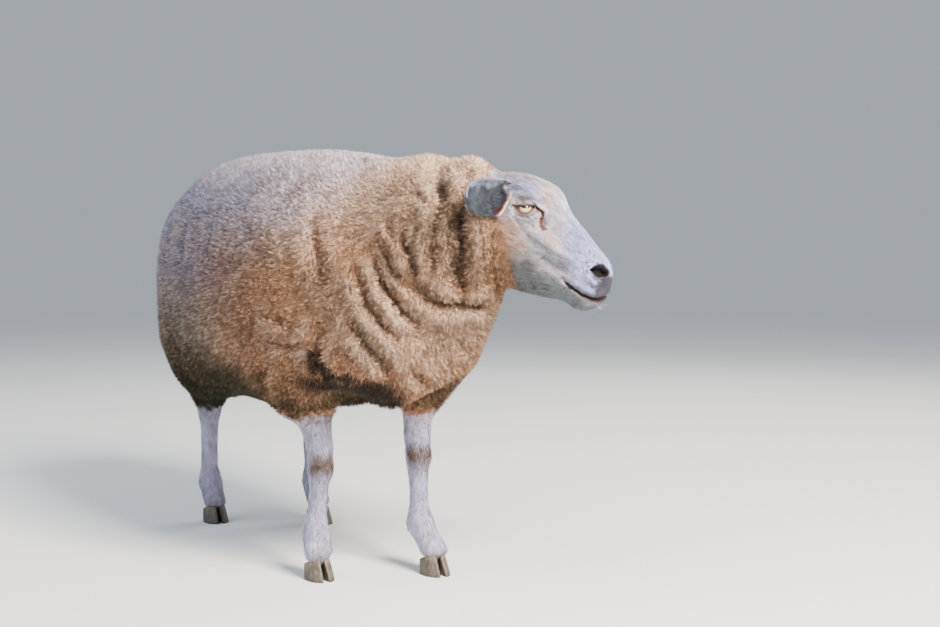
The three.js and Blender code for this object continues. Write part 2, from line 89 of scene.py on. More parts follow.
def blob(flat, centre, radii, turn=0.0):
    """1 in the middle of an oval, falling smoothly to 0 at about 2 radii away."""
    c, s = math.cos(math.radians(turn)), math.sin(math.radians(turn))
    u, v = (flat - centre).T
    return np.exp(-(((u * c + v * s) / radii[0]) ** 2) - ((v * c - u * s) / radii[1]) ** 2)


def to_line(p, line):
    """The distance from each point to a run of straight lines, and how far along it lies (0 to 1)."""
    line = np.asarray(line, float)
    lengths = np.linalg.norm(np.diff(line, axis=0), axis=1)
    starts = np.concatenate([[0], np.cumsum(lengths)])
    best, place = np.full(len(p), np.inf), np.zeros(len(p))
    for a, b, start, length in zip(line, line[1:], starts, lengths):
        t = np.clip((p - a) @ (b - a) / length**2, 0, 1)
        d = np.linalg.norm(p - a - t[:, None] * (b - a), axis=1)
        closer = d < best
        best[closer] = d[closer]
        place[closer] = (start + t[closer] * length) / starts[-1]
    return best, place


def off(p, line):
    return to_line(p, line)[0]


def hashed(rows, seed):
    """A repeatable random number from 0 to 1 for each row of whole numbers."""
    h = np.bitwise_xor.reduce(rows * [73856093, 19349663, 83492791], -1)
    h = (h ^ (seed * 2654435761)) & 0xFFFFFFFF
    for shift, factor in ((15, 2246822519), (13, 3266489917)):
        h = ((h ^ (h >> shift)) * factor) & 0xFFFFFFFF
    return ((h ^ (h >> 16)) & 0xFFFFFF) / 0xFFFFFF


def noise(p, size, seed):
    """Smooth noise from -1 to 1, whose bumps are about size across."""
    q = p / size
    base = np.floor(q).astype(np.int64)
    f = ease(0, 1, q - base)
    total = 0
    for corner in np.ndindex(2, 2, 2):
        weight = np.prod(np.where(corner, f, 1 - f), -1)
        total = total + weight * hashed(base + np.array(corner), seed)
    return total * 2 - 1


def noise3(p, size, seed):
    return np.stack([noise(p, size, seed + m) for m in range(3)], 1)


def cells(p, size, seed):
    """Uneven cells about size across: the way to the nearest middle, and how much further the next is."""
    q = p / size
    base = np.floor(q).astype(np.int64)
    first, second = np.full((2, len(p)), np.inf)
    way = np.zeros_like(p)
    for step in np.ndindex(3, 3, 3):
        cell = base + np.array(step) - 1
        middle = cell + np.stack([hashed(cell, seed + m) for m in range(3)], -1)
        d = np.linalg.norm(middle - q, axis=1)
        way[d < first] = (middle - q)[d < first]
        second = np.where(d < first, first, np.minimum(second, d))
        first = np.minimum(first, d)
    return way * size, (second - first) * size


def values(items, name, width, kind=np.float64):
    """One property of every item of a mesh, as rows."""
    out = np.empty(len(items) * width, kind)
    items.foreach_get(name, out)
    return out.reshape(-1, width)


def coords(mesh):
    return values(mesh.vertices, "co", 3)


def fill(items, name, rows, kind=np.float32):
    items.foreach_set(name, np.asarray(rows, kind).ravel())


def set_coords(mesh, co):
    fill(mesh.vertices, "co", co)
    mesh.update()


def normals(mesh):
    return values(mesh.vertex_normals, "vector", 3, np.float32).astype(float)


def edges_of(mesh):
    return values(mesh.edges, "vertices", 2, np.int32)


def smooth(co, edges, amount, passes):
    """Moves each point towards its neighbours' middle. amount is one number, or one for each."""
    a, b = edges.T
    count = np.maximum(np.bincount(edges.ravel(), minlength=len(co)), 1)[:, None]
    amount = np.reshape(amount, (-1, 1))
    for _ in range(passes):
        total = [np.bincount(a, v[b], len(co)) + np.bincount(b, v[a], len(co)) for v in co.T]
        co = co + amount * (np.stack(total, 1) / count - co)
    return co


def soften(mesh, amount, passes):
    """Smooths away facets and keeps the size: each pass in is followed by one out."""
    co, edges = coords(mesh), edges_of(mesh)
    amount = amount(co) if callable(amount) else amount
    for _ in range(passes):
        for share in (1, OUT_AGAIN):
            co = smooth(co, edges, share * amount, 1)
    set_coords(mesh, co)


def add_object(name, data):
    ob = bpy.data.objects.new(name, data)
    SCENE.collection.objects.link(ob)
    return ob


def modified(mesh, kind, **settings):
    """The mesh as a modifier leaves it."""
    ob = add_object("modified", mesh)
    step = ob.modifiers.new("step", kind)
    for name, value in settings.items():
        setattr(step, name, value)
    out = bpy.data.meshes.new_from_object(ob.evaluated_get(bpy.context.evaluated_depsgraph_get()))
    bpy.data.objects.remove(ob)
    return out


def edit(mesh, change):
    """Changes a mesh through bmesh."""
    made = bmesh.new()
    made.from_mesh(mesh)
    change(made)
    made.to_mesh(mesh)
    made.free()


def face_out(mesh):
    edit(mesh, lambda made: bmesh.ops.recalc_face_normals(made, faces=made.faces))


def shade_smooth(mesh):
    fill(mesh.polygons, "use_smooth", np.ones(len(mesh.polygons)), bool)


def mesh_of(name, points, faces):
    """A mesh from arrays. faces is a list of arrays, each with as many columns as its faces' corners."""
    mesh = bpy.data.meshes.new(name)
    mesh.vertices.add(len(points))
    fill(mesh.vertices, "co", points)
    corners = np.concatenate([f.ravel() for f in faces])
    sizes = np.concatenate([np.full(len(f), f.shape[1]) for f in faces])
    mesh.loops.add(len(corners))
    fill(mesh.loops, "vertex_index", corners, np.int32)
    mesh.polygons.add(len(sizes))
    fill(mesh.polygons, "loop_start", np.cumsum(sizes) - sizes, np.int32)
    fill(mesh.polygons, "loop_total", sizes, np.int32)
    mesh.update(calc_edges=True)
    mesh.validate()
    shade_smooth(mesh)
    return mesh


def paint(mesh, rgb, material):
    """Gives the mesh a material, and each of its points a linear colour."""
    layer = mesh.color_attributes.new("marks_and_shading", "FLOAT_COLOR", "POINT")
    fill(layer.data, "color", np.column_stack([rgb, np.ones(len(rgb))]))
    mesh.materials.append(material)


def piece(name, mesh, slot, *nodes):
    """A visible piece: it rides on the one body and stands for the nodes, which it hides. The slot is not
    used.
    """
    ob = add_object(name, mesh)
    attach(ob, "root")
    if nodes:
        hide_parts(*nodes)
    return ob


# ---------- The head's own frame ----------

# In the head's frame, in millimetres: t runs along the face to the nose, n up from its axis, and
# w out to the head's right. a and z are the same place, measured level and upright. The eyes say
# where the frame is.
HEAD_PITCH = math.radians(35)
EYE_T, EYE_N = 31.0, 56.0
EYE_RADIUS = 15.5
FACE_HALF = 35  # places further out than this from the head's middle are on its sides

eye_centres = {side: np.array(sum(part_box("eye_" + side), Vector()) / 2) for side in SIDES}
SIDE = unit(eye_centres["right"] - eye_centres["left"])
UP = np.array([0.0, 0.0, 1.0])
LEVEL = np.cross(UP, SIDE)
ALONG = math.cos(HEAD_PITCH) * LEVEL - math.sin(HEAD_PITCH) * UP
ABOVE = math.sin(HEAD_PITCH) * LEVEL + math.cos(HEAD_PITCH) * UP
HEAD_ORIGIN = sum(eye_centres.values()) / 2 - (EYE_T * ALONG + EYE_N * ABOVE) / 1000
EYE = np.array([LEVEL, UP]) @ (EYE_T * ALONG + EYE_N * ABOVE)


def in_head(p):
    """t, n and w of each point."""
    d = (p - HEAD_ORIGIN) * 1000
    return d @ ALONG, d @ ABOVE, d @ SIDE


def level(p):
    """a and z of each point: how far forward of the head's origin and how far above it."""
    return (p - HEAD_ORIGIN) @ np.array([LEVEL, UP]).T * 1000


def beside(p):
    return np.abs(in_head(p)[2]) > FACE_HALF


# ---------- Where each kind of coat grows ----------

# Each leg's line in millimetres, from the elbow or stifle by the knee or hock and the fetlock to the
# foot, and the height in metres where its wool ends.
LEG_LINES = {
    "fore_right": [(-164, -159, 420), (-134, -189, 216), (-140, -181, 84), (-143, -209, 0)],
    "fore_left": [(84, -173, 420), (54, -219, 224), (55, -225, 88), (63, -277, 0)],
    "hind_right": [(-170, 277, 400), (-132, 429, 250), (-134, 419, 84), (-134, 381, 0)],
    "hind_left": [(94, 191, 400), (62, 311, 250), (60, 297, 84), (60, 259, 0)],
}
CUFF = {"fore": 0.300, "hind": 0.252}

# The wool's edge on the head: how far forward it comes, from under the jaw up to the poll.
WOOL_EDGE_Z = [-150, -118, -78, -51, -17, 11, 34, 60, 90]
WOOL_EDGE_A = [30, 47, 38, 32, 22, 11, -10, -24, 2]


def bare_face(p, soft=7.0, shift=0.0):
    """1 on the face, 0 where wool grows. shift moves the edge forward."""
    a, z = level(p).T
    edge = np.interp(z, WOOL_EDGE_Z, WOOL_EDGE_A) + 5 * noise(p, 0.012, 3) + 4 * noise(p, 0.030, 4) + shift
    return ease(-soft, soft, a - edge) * ease(-175, -150, z)


def on_leg(p, line):
    """1 near a leg's line, 0 away from it."""
    return ease(75, 55, off(p * 1000, line))


def bare_leg(p, soft=0.008):
    """1 on the lower legs, 0 where wool grows."""
    ragged = 0.009 * noise(p, 0.02, 5) + 0.007 * noise(p, 0.006, 6)
    below = {kind: ease(-soft, soft, height + ragged - p[:, 2]) for kind, height in CUFF.items()}
    return np.max([below[leg[:4]] * on_leg(p, line) for leg, line in LEG_LINES.items()], 0)


# ---------- Materials ----------


def shader_of(mat):
    return mat.node_tree.nodes["Principled BSDF"]


def feed(mat, made, inputs):
    """Sets a shader node's inputs. Each is a plain value, or a (node, output) pair to link."""
    for name, value in dict(inputs).items():
        if isinstance(value, tuple) and isinstance(value[0], bpy.types.Node):
            mat.node_tree.links.new(value[0].outputs[value[1]], made.inputs[name])
        else:
            made.inputs[name].default_value = value


def node(mat, kind, inputs=(), **settings):
    made = mat.node_tree.nodes.new("ShaderNode" + kind)
    for name, value in settings.items():
        setattr(made, name, value)
    feed(mat, made, inputs)
    return made


def material(name, roughness, specular, sheen=0.0, sheen_roughness=0.5, coat=0.0):
    mat = bpy.data.materials.new(name)
    mat.use_nodes = True
    feed(mat, shader_of(mat), {
        "Roughness": roughness, "Specular IOR Level": specular, "Sheen Weight": sheen,
        "Sheen Roughness": sheen_roughness, "Coat Weight": coat, "Coat Roughness": 0.03,
    })
    return mat


def marked(mat, low, high, scale):
    """Feeds the painted colour to the shader, with fine light and dark in it."""
    color = node(mat, "Attribute", attribute_name="marks_and_shading")
    place = node(mat, "TexCoord"), "Object"
    fine = node(mat, "TexNoise", {"Vector": place, "Scale": scale, "Detail": 2.0})
    span = {"From Min": 0.3, "From Max": 0.7, "To Min": low, "To Max": high}
    shade = node(mat, "MapRange", {"Value": (fine, "Fac"), **span})
    scaled = node(mat, "VectorMath", {0: (color, "Color"), "Scale": (shade, "Result")}, operation="SCALE")
    feed(mat, shader_of(mat), {"Base Color": (scaled, "Vector")})
    return fine, "Fac"


def bump(mat, height, distance):
    made = node(mat, "Bump", {"Height": height, "Strength": 1.0, "Distance": distance})
    feed(mat, shader_of(mat), {"Normal": (made, "Normal")})


wool_mat = material("wool", roughness=0.95, specular=0.08, sheen=0.04, sheen_roughness=0.6)
bump(wool_mat, marked(wool_mat, low=0.85, high=1.12, scale=700.0), 0.0004)
hair_mat = material("hair", roughness=0.72, specular=0.22, sheen=0.04)
marked(hair_mat, low=0.93, high=1.06, scale=1500.0)

# Where the skin is wet or leathery it is glossier, and has a raised grain.
skin_mat = material("skin", roughness=0.8, specular=0.25)
wet = node(skin_mat, "Attribute", attribute_name="wet"), "Fac"
place = node(skin_mat, "TexCoord"), "Object"
grains = node(skin_mat, "TexVoronoi", {"Vector": place, "Scale": 620.0}, feature="DISTANCE_TO_EDGE")
fine = marked(skin_mat, low=0.82, high=1.10, scale=1100.0)
height = node(skin_mat, "Math", {0: wet, 1: (grains, "Distance"), 2: fine}, operation="MULTIPLY_ADD")
bump(skin_mat, (height, "Value"), 0.0008)
gloss = node(skin_mat, "MapRange", {"Value": wet, "To Min": 0.85, "To Max": 0.22})
feed(skin_mat, shader_of(skin_mat), {"Roughness": (gloss, "Result")})

eye_mat = material("eye", roughness=0.12, specular=0.6, coat=1.0)
marked(eye_mat, low=0.92, high=1.06, scale=1500.0)
horn_mat = material("horn", roughness=0.55, specular=0.4)
bump(horn_mat, marked(horn_mat, low=0.75, high=1.2, scale=420.0), 0.0003)

# ---------- Lines on the body and the face ----------

# The wool's creases in millimetres: each one's depth, half its width, and points along it. A crease
# rolls over: the skin swells on both sides of it. Most of the points were picked by eye on the folds
# in the photograph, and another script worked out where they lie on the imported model. The same goes
# for most points of MOUTH and ARMPIT and for three of SPOTS.
CREASES = [
    (24, 11, [(20, -372, 775), (-5, -410, 737), (-12, -434, 704), (-24, -446, 673), (-35, -451, 630),
        (-37, -448, 586), (-31, -442, 554)]),
    (26, 10, [(-64, -422, 566), (-44, -427, 537), (-31, -432, 528), (-5, -439, 513), (21, -445, 509),
        (61, -446, 508), (100, -400, 510)]),
    (28, 15, [(36, -444, 752), (30, -454, 737), (16, -461, 699), (4, -466, 647), (6, -465, 596),
        (13, -458, 543), (24, -452, 520)]),
    (12, 6, [(-45, -418, 713), (-42, -432, 694), (-33, -440, 683)]),
    (23, 9, [(-126, -375, 616), (-109, -387, 568), (-91, -396, 535), (-74, -405, 510), (-50, -411, 485),
        (-40, -410, 455)]),
    (22, 9, [(-140, -364, 578), (-132, -371, 547), (-124, -382, 512), (-105, -394, 481),
        (-89, -400, 467), (-66, -405, 445)]),
    (22, 10, [(-152, -371, 481), (-141, -377, 464), (-126, -384, 438), (-101, -385, 409),
        (-81, -376, 382)]),
    (17, 8, [(-47, -393, 400), (-17, -381, 377), (14, -356, 355)]),
    (12, 7, [(-82, -401, 491), (-72, -405, 477), (-48, -408, 448)]),
    (14, 12, [(-205, -345, 500), (-204, -317, 436), (-202, -307, 414), (-183, -306, 384)]),
    (10, 7, [(-263, -212, 453), (-240, -259, 441), (-210, -313, 444)]),
    (9, 7, [(-274, -201, 499), (-257, -246, 491), (-231, -291, 479)]),
    (8, 15, [(-278, -189, 535), (-273, -198, 485), (-260, -202, 431), (-246, -184, 383),
        (-224, -147, 336)]),
    (15, 9, [(-295, 245, 490), (-287, 230, 448), (-273, 210, 398), (-245, 195, 353), (-213, 178, 328),
        (-184, 153, 317)]),
    (6, 14, [(-240, 160, 705), (-275, 120, 640), (-294, 100, 560)]),
    (6, 14, [(-235, 20, 705), (-280, -22, 640), (-292, -40, 560)]),
    (16, 8, [(-113, -387, 633), (-105, -395, 604), (-87, -404, 575), (-61, -415, 538)]),
    (16, 8, [(-84, -419, 637), (-69, -431, 604), (-57, -430, 565), (-49, -428, 547)]),
    (7, 5, [(-62, -435, 656), (-59, -438, 605)]),
    (11, 12, [(-190, -289, 673), (-198, -314, 615), (-196, -324, 581), (-197, -328, 543)]),
    (7, 6, [(-98, -392, 673), (-96, -407, 630)]),
    (14, 9, [(43, -300, 790), (100, -300, 755), (152, -285, 700), (179, -270, 600), (170, -290, 500),
        (139, -330, 440)]),
    (10, 8, [(111, -240, 740), (173, -230, 650), (187, -240, 540), (165, -280, 450)]),
    (16, 9, [(120, -345, 755), (168, -340, 720), (168, -320, 620), (161, -330, 520), (120, -370, 450)]),
    (9, 9, [(194, -180, 620), (201, -190, 520), (173, -230, 420), (116, -280, 360)]),
]
CREASE_REACH = 0.25

# Lines on the face as (a, z): the eye's opening with its tear line and gland, the upper lid's rim,
# the mouth, and the nostril from its hind end forward, with its reach at each point.
SLIT = [(40, 31), (48, 24), (58, 20), (68, 23), (76, 31), (82, 27), (89, 20), (87, 8), (89, -6), (96, -7)]
LID = [(36, 34), (58, 34), (78, 34)]
MOUTH = [(127.5, -99), (140.8, -110), (158.4, -122.3), (176, -129.4), (186.8, -131.4), (203, -125.5),
         (214, -122)]
NOSTRIL = [(173.5, -78), (179, -78.5), (185, -79.5), (191, -80.5), (197, -83)]
NOSTRIL_REACH = [2.2, 7.5, 10.8, 11.5, 8.0]


def crease_shape(p):
    """How far the creases push each point in, in millimetres."""
    total = np.zeros(len(p))
    wander = p + 0.004 * noise3(p, 0.03, 40)
    for depth, width, line in CREASES:
        close = np.linalg.norm(p - np.mean(line, 0) / 1000, axis=1) < CREASE_REACH
        away, place = to_line(wander[close] * 1000, line)
        ends = np.sqrt(np.sin(math.pi * np.clip(place, 0.02, 0.98)))
        total[close] += depth * ends * (near(away / width, 0, 1) - 0.36 * near(away / width, 2.4, 1.2))
    return total


def near_eye(p, reach):
    """Within reach millimetres of an eye's opening and its tear gland, seen from the side."""
    return (off(level(p), SLIT) < reach) & beside(p)


def near_mouth(p, reach):
    """Within reach millimetres of the mouth, or a little more of a nostril."""
    away = np.minimum(off(level(p), MOUTH), off(level(p), NOSTRIL) - 7)
    return (away < reach) & (bare_face(p) > 0.5)


def from_nostril(flat):
    """0 in the middle of a nostril and 1 at its rim, seen from the side."""
    away, place = to_line(flat, NOSTRIL)
    return away / np.interp(place, np.linspace(0, 1, len(NOSTRIL_REACH)), NOSTRIL_REACH)


# ---------- The skin's base: all the flesh fused into one surface, finer where it shows ----------

FLESH_VOXEL, FLESH_SWELL = 0.0096, 0.0012
HORN_VOXEL = 0.0017
WELD = 1e-5


def fused(nodes, voxel, swell=0.0):
    """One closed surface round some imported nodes. The swell closes the thin gaps between them."""
    mesh = bpy.data.meshes.new("fused")

    def gather(made):
        for node in nodes:
            made.from_mesh(NODES[node].data)
        bmesh.ops.remove_doubles(made, verts=made.verts, dist=WELD)
        made.normal_update()
        for v in made.verts:
            v.co += v.normal * swell

    edit(mesh, gather)
    return modified(mesh, "REMESH", mode="VOXEL", voxel_size=voxel)


def refine(mesh, wanted):
    """Cuts in four each face whose middle wanted() picks."""
    picked = np.flatnonzero(wanted(values(mesh.polygons, "center", 3)))

    def cut(made):
        made.faces.ensure_lookup_table()
        edges = {e for i in picked for e in made.faces[i].edges}
        bmesh.ops.subdivide_edges(made, edges=list(edges), cuts=1, use_grid_fill=True)

    edit(mesh, cut)


def by_crease(p, reach):
    return np.any([off(p * 1000, line) < reach for _, _, line in CREASES], 0)


def face_only(p):
    return 0.5 * (bare_face(p, 12) > 0.02)


skin = fused(FLESH, FLESH_VOXEL, FLESH_SWELL)
soften(skin, 0.5, 6)
refine(skin, lambda p: (bare_face(p, 9) > 0.02) | (bare_leg(p, 0.02) > 0.02) | by_crease(p, 12))
soften(skin, 0.5, 4)
refine(skin, lambda p: bare_face(p) > 0.1)
soften(skin, face_only, 3)

# ---------- The coat's depth comes off, and the creases go in ----------

WOOL_DEPTH, HAIR_DEPTH = 0.0095, 0.0016


def coat_depth(p):
    """The coat's depth in metres. It thins out over the cheek and at the legs' cuffs."""
    on_top = ease(10, 45, level(p)[:, 1])
    face = bare_face(p, mix(24.0, 7.0, on_top), mix(-16.0, -3.0, on_top))
    return mix(WOOL_DEPTH, HAIR_DEPTH, np.maximum(face, bare_leg(p, 0.012)))


outer, edges = coords(skin), edges_of(skin)
woolly = 1 - np.maximum(bare_face(outer, 9), bare_leg(outer, 0.010))
outward = unit(smooth(normals(skin), edges, 0.6 * woolly, 8))
co = smooth(outer - outward * coat_depth(outer)[:, None], edges, 0.4 * woolly, 3)
push = crease_shape(outer) / 1000 + 0.0030 * noise(outer, 0.070, 11) + 0.0016 * noise(outer, 0.026, 12)
set_coords(skin, co - outward * (push * woolly)[:, None])

# ---------- The face ----------

# How lines and ovals change the face, in millimetres out or in. Each line: height, half width,
# points as (a, z). Each oval: height, centre (a, z), radii, turn in degrees.
FACE_LINES = [
    (-1.5, 2.6, [(36, 37), (44, 43), (58, 46), (72, 44), (82, 38)]),  # the upper lid's fold
    (-1.0, 2.4, [(40, 27), (48, 17), (60, 13), (73, 17), (80, 25)]),  # under the lower lid
    (-1.0, 3.0, [(36, 20), (46, 9), (58, 3), (70, 4)]),
    (-1.6, 2.4, [(30, 30), (37, 33.5), (42, 33.5)]),  # out from the outer corner
    (-2.4, 2.0, [(74, 32), (80.5, 28), (89, 21.5), (89, 15)]),  # the tear line
    (1.1, 3.0, [(77, 36), (86, 30), (95, 22), (96, 12)]),  # the skin swells along it
    (-4.4, 2.6, [(88, 14), (86.5, 5), (87, -3), (92, -7)]),  # the gland
    (-1.4, 2.0, [(93, 13), (93, 4), (97, -1)]),
    (-2.6, 3.4, [(37, 19), (45, 5), (54.6, -6)]),  # the crease under the eye
    (2.6, 8.0, [(60, -8), (92, -30), (122, -50), (150, -66)]),  # the facial crest
    (-3.4, 10.0, [(84, -56), (108, -72), (134, -86)]),  # the hollow before the cheek
    (2.2, 4.5, [(166, -74), (174, -63), (188, -59), (204, -64)]),  # over the nostril
    (2.0, 5.0, [(164, -84), (172, -97), (184, -106)]),  # behind and under it
]
LIP_LINES = [
    (-2.4, 3.5, [(122, -93), (129, -101)]),  # the mouth's corner
    (2.4, 5.5, [(140, -98), (160, -112), (178, -120), (192, -121), (206, -116)]),  # the upper lip
    (1.2, 6.0, [(146, -123), (162, -134), (180, -141), (194, -139)]),  # the lower lip
]
FACE_OVALS = [
    (4.0, (57, 57), (24, 8), -8),  # the brow over the eye
    (1.6, (57, 40), (17, 4.5), 0),  # the upper lid
    (0.8, (58, 11), (17, 6), 0),
    (-2.6, (24, 38), (9, 13), 0),  # the temple
    (-2.0, (88, 40), (12, 7), -35),  # before the eye
    (2.2, (54, -50), (26, 30), -35),  # the cheek
    (-2.4, (118, -20), (32, 12), -42),
]
MOUTH_DEPTH, MOUTH_WIDTH = 5.2, 2.0
NOSTRIL_DEPTH = 13
GROOVE_DEPTH, GROOVE_WIDTH = 2.6, 2.4  # down the middle of the nose


def ridges(flat, lines):
    total = 0
    for height, width, line in lines:
        away, place = to_line(flat, line)
        ends = np.maximum(ease(0, 0.12, place) * ease(1, 0.88, place), 0.25)
        total = total + height * ends * near(away, 0, width)
    return total


def face_shape(p, n):
    """How far the face's own features move each point out, in millimetres."""
    flat = level(p)
    t, up, w = in_head(p)
    mouth, place = to_line(flat, MOUTH)
    out = ridges(flat, LIP_LINES)
    out -= MOUTH_DEPTH * np.maximum(ease(0, 0.06, place), 0.25) * near(mouth, 0, MOUTH_WIDTH)
    ovals = sum(height * blob(flat, *oval) for height, *oval in FACE_OVALS)
    out += ease(0.15, 0.6, np.abs(n @ SIDE)) * (ridges(flat, FACE_LINES) + ovals)
    rim = from_nostril(flat)
    out += (1.5 * near(rim, 1.22, 0.22) - NOSTRIL_DEPTH * ease(1.0, 0.35, rim)) * ease(11, 15, np.abs(w))
    groove = near(w, 0, GROOVE_WIDTH) * ease(222, 230, t) * ease(8, 18, up) * ease(64, 52, up)
    return out - GROOVE_DEPTH * groove


# The lids, in millimetres from the eye's centre: how far they reach over the ball, how thick they
# are, and how far inside the opening the skin lies under the ball.
LID_REACH = (23.5, 19.5)
LID_THICK = 1.5
SOCKET = 2.2


def lid_gap(flat):
    """How far inside the lids' opening a place lies, in mm. flat is from the eye's centre."""
    a, z = flat.T
    top = 5.4 - 1.6 * (a / 17) ** 2 + 0.03 * a
    bottom = -5.2 + 10.0 * np.abs((a - 0.5) / 17) ** 2.2
    return np.where(np.abs(a) < 26, np.minimum(top - z, z - bottom), -50)


def lid_shape(p):
    """Lays the lids over each eyeball and opens them."""
    out = p.copy()
    for side, sign in SIDES.items():
        d = (p - eye_centres[side]) * 1000
        flat, w = d @ np.array([LEVEL, UP]).T, d @ SIDE * sign
        a, z = flat.T
        ball = EYE_RADIUS**2 - a**2 - z**2
        lid = 1 - (a / LID_REACH[0]) ** 2 - (z / LID_REACH[1]) ** 2
        lid_w = (EYE_RADIUS + LID_THICK) * np.sqrt(np.clip(lid, 0, 1))
        on_lid = ease(0.02, 0.45, lid) * (w > -6)
        new = mix(w, np.maximum(lid_w, w * 0.35 + lid_w * 0.65), on_lid)
        opening = lid_gap(flat)
        inside = ease(-0.25, 0.75, opening) * (w > -6)
        behind = np.sqrt(np.clip(ball, 0, None)) - SOCKET
        behind = np.where(ball > 9, behind, np.minimum(new - 2.0, 5.5))
        lip = 0.7 * near(opening, -1.3, 1.2)
        new = mix(new + lip * on_lid, np.minimum(behind, new), inside)
        close = (np.abs(a) < 30) & (np.abs(z) < 26) & (w > -6) & (w < 30)
        out[close] += ((new - w) * sign / 1000)[close, None] * SIDE
    return out


refine(skin, lambda p: near_eye(p, 13) | near_mouth(p, 9))
soften(skin, face_only, 2)
refine(skin, lambda p: near_eye(p, 4) | ((off(level(p), LID) < 4) & near_eye(p, 20)))
soften(skin, lambda p: 0.5 * near_eye(p, 16), 2)
co, edges = coords(skin), edges_of(skin)
n = unit(smooth(normals(skin), edges, 0.5, 4))
face = bare_face(co, 9)
co = co + n * (face_shape(co, n) * face / 1000)[:, None]
co = lid_shape(smooth(co, edges, 0.35 * face, 1))
set_coords(skin, smooth(co, edges, 0.30 * near_eye(co, 12), 1))

# ---------- The legs ----------


def leg_shape(p, n):
    """Tendons, knees, hocks and fetlocks on the bare legs, in millimetres out."""
    out, z, sideways = 0, p[:, 2], np.abs(n[:, 0])
    for line in LEG_LINES.values():
        _, y_along, z_along = np.array(line)[::-1].T / 1000
        back = p[:, 1] - np.interp(z, z_along, y_along)
        knee = z_along[2]
        shape = 1.4 * near(z, knee - 0.018, 0.012) * ease(0.2, -0.6, n[:, 1])
        shape += 1.2 * near(z, 0.078, 0.012) * sideways
        shape -= 1.0 * near(z, knee + 0.012, 0.007) * ease(0.2, 0.8, sideways)
        shank = ease(0.095, 0.12, z) * ease(knee - 0.03, knee - 0.055, z)
        shape -= 2.4 * shank * near(back, 0.009, 0.004) * sideways
        out += shape * on_leg(p, line)
    return out * bare_leg(p)


co, n = coords(skin), normals(skin)
set_coords(skin, co + n * (leg_shape(co, n) / 1000)[:, None])

# ---------- The ears: cupped leaves, grown into the skin ----------

# The middles of the ear's root and tip, in the head's frame in millimetres.
EAR_AXIS = [(-2.0, 51.0, 44.0), (-53.0, 12.0, 136.0)]
EAR_STEPS, EAR_ACROSS = 52, 34
EAR_SKIN = 2.8
EAR_REACH = 0.055

# The ear's two edges from its root to its tip: how far along, then level, up and out from the
# head's origin in millimetres, and how deep the cup is between them.
EAR_ALONG = [0, 0.10, 0.20, 0.32, 0.45, 0.60, 0.75, 0.88, 0.96, 1.0]
EAR_LOW = [(38, 66, 52), (34, 50, 66), (26, 32, 77), (14, 13, 84), (1, 15, 91), (-12, 16, 102),
           (-26, 20, 114), (-36, 27, 125), (-39.5, 37, 131), (-40, 46, 134)]
EAR_HIGH = [(36, 72, 44), (30, 77, 57), (21, 79, 68), (9, 80, 78), (-3, 80.5, 88), (-15, 79.5, 100),
            (-28, 76.5, 112), (-36, 69, 124), (-39.5, 58, 131), (-40, 48, 134)]
EAR_CUP = [8, 11, 13, 13, 11, 8, 6, 4, 2, 0]


def ear_axis(sign):
    return HEAD_ORIGIN + np.array(EAR_AXIS) @ [ALONG, ABOVE, SIDE * sign] / 1000


def out_along(sign):
    """The way from the ear's root to its tip."""
    root, tip = ear_axis(sign)
    return unit(tip - root)


def ear_edge(s, rows, sign):
    """One edge of the ear at each place along it, with its corners rounded."""
    rows = np.stack([np.interp(s, EAR_ALONG, column) for column in np.transpose(rows)], 1)
    points = HEAD_ORIGIN + rows @ [LEVEL, UP, SIDE * sign] / 1000
    for _ in range(6):
        points = np.concatenate([points[:1], (points[:-2] + 2 * points[1:-1] + points[2:]) / 4, points[-1:]])
    return points[:, None]


def ear_sheet(sign):
    """The ear's inner side as a grid, its normals out through the back, and how far along and across."""
    ahead = unit(np.cross(out_along(sign), UP))
    ahead = ahead * np.sign(ahead @ LEVEL)
    s = np.interp(np.linspace(0, 1, EAR_STEPS), [0, 0.2, 0.85, 1], [0, 0.12, 0.90, 1])
    S, V = np.meshgrid(s, np.linspace(-1, 1, EAR_ACROSS), indexing="ij")
    low, high = (ear_edge(s, rows, sign) for rows in (EAR_LOW, EAR_HIGH))
    cup = (1 - np.abs(V) ** 3.2) * np.interp(S, EAR_ALONG, EAR_CUP) * (1 + 0.25 * V)
    ripple = 0.9 * np.sin(5 * V + 9 * S) * np.sin(math.pi * S)
    sheet = low + (high - low) * ((V + 1) / 2)[..., None] - ahead * ((cup + ripple)[..., None] / 1000)
    n = unit(np.cross(np.gradient(sheet, axis=0), np.gradient(sheet, axis=1)))
    return sheet, n * np.sign(np.sum(n * -ahead, -1).mean()), S, V


def grid_quads(index):
    return np.stack([index[:-1, :-1], index[1:, :-1], index[1:, 1:], index[:-1, 1:]], -1).reshape(-1, 4)


def ear_leaf(sign):
    """The ear as a closed shell."""
    inner, n, S, V = ear_sheet(sign)
    front_rim = ease(0.45, 0.25, S) * ease(-0.7, -1, V)
    thick = EAR_SKIN * (1 - 0.60 * np.abs(V) ** 4) * (1 - 0.5 * S**3) + 0.7 * front_rim
    outside = inner + n * (thick / 1000)[..., None]
    inner = inner - n * 0.0002
    index = np.arange(S.size).reshape(S.shape)
    quads = grid_quads(index)
    rim = np.concatenate([index[:, 0], index[-1, 1:], index[::-1, -1][1:], index[0, ::-1][1:-1]])
    after = np.roll(rim, -1)
    wall = np.stack([rim, after, after + S.size, rim + S.size], -1)
    points = np.concatenate([inner.reshape(-1, 3), outside.reshape(-1, 3)])
    mesh = mesh_of("ear", points, [quads, quads[:, ::-1] + S.size, wall])
    face_out(mesh)
    return mesh


ear_sheets = {}
for sign in SIDES.values():
    places, *rows = [v.reshape(-1, *v.shape[2:]) for v in ear_sheet(sign)]
    tree = KDTree(len(places))
    for i, place in enumerate(places):
        tree.insert(place, i)
    tree.balance()
    ear_sheets[sign] = (tree, *rows)


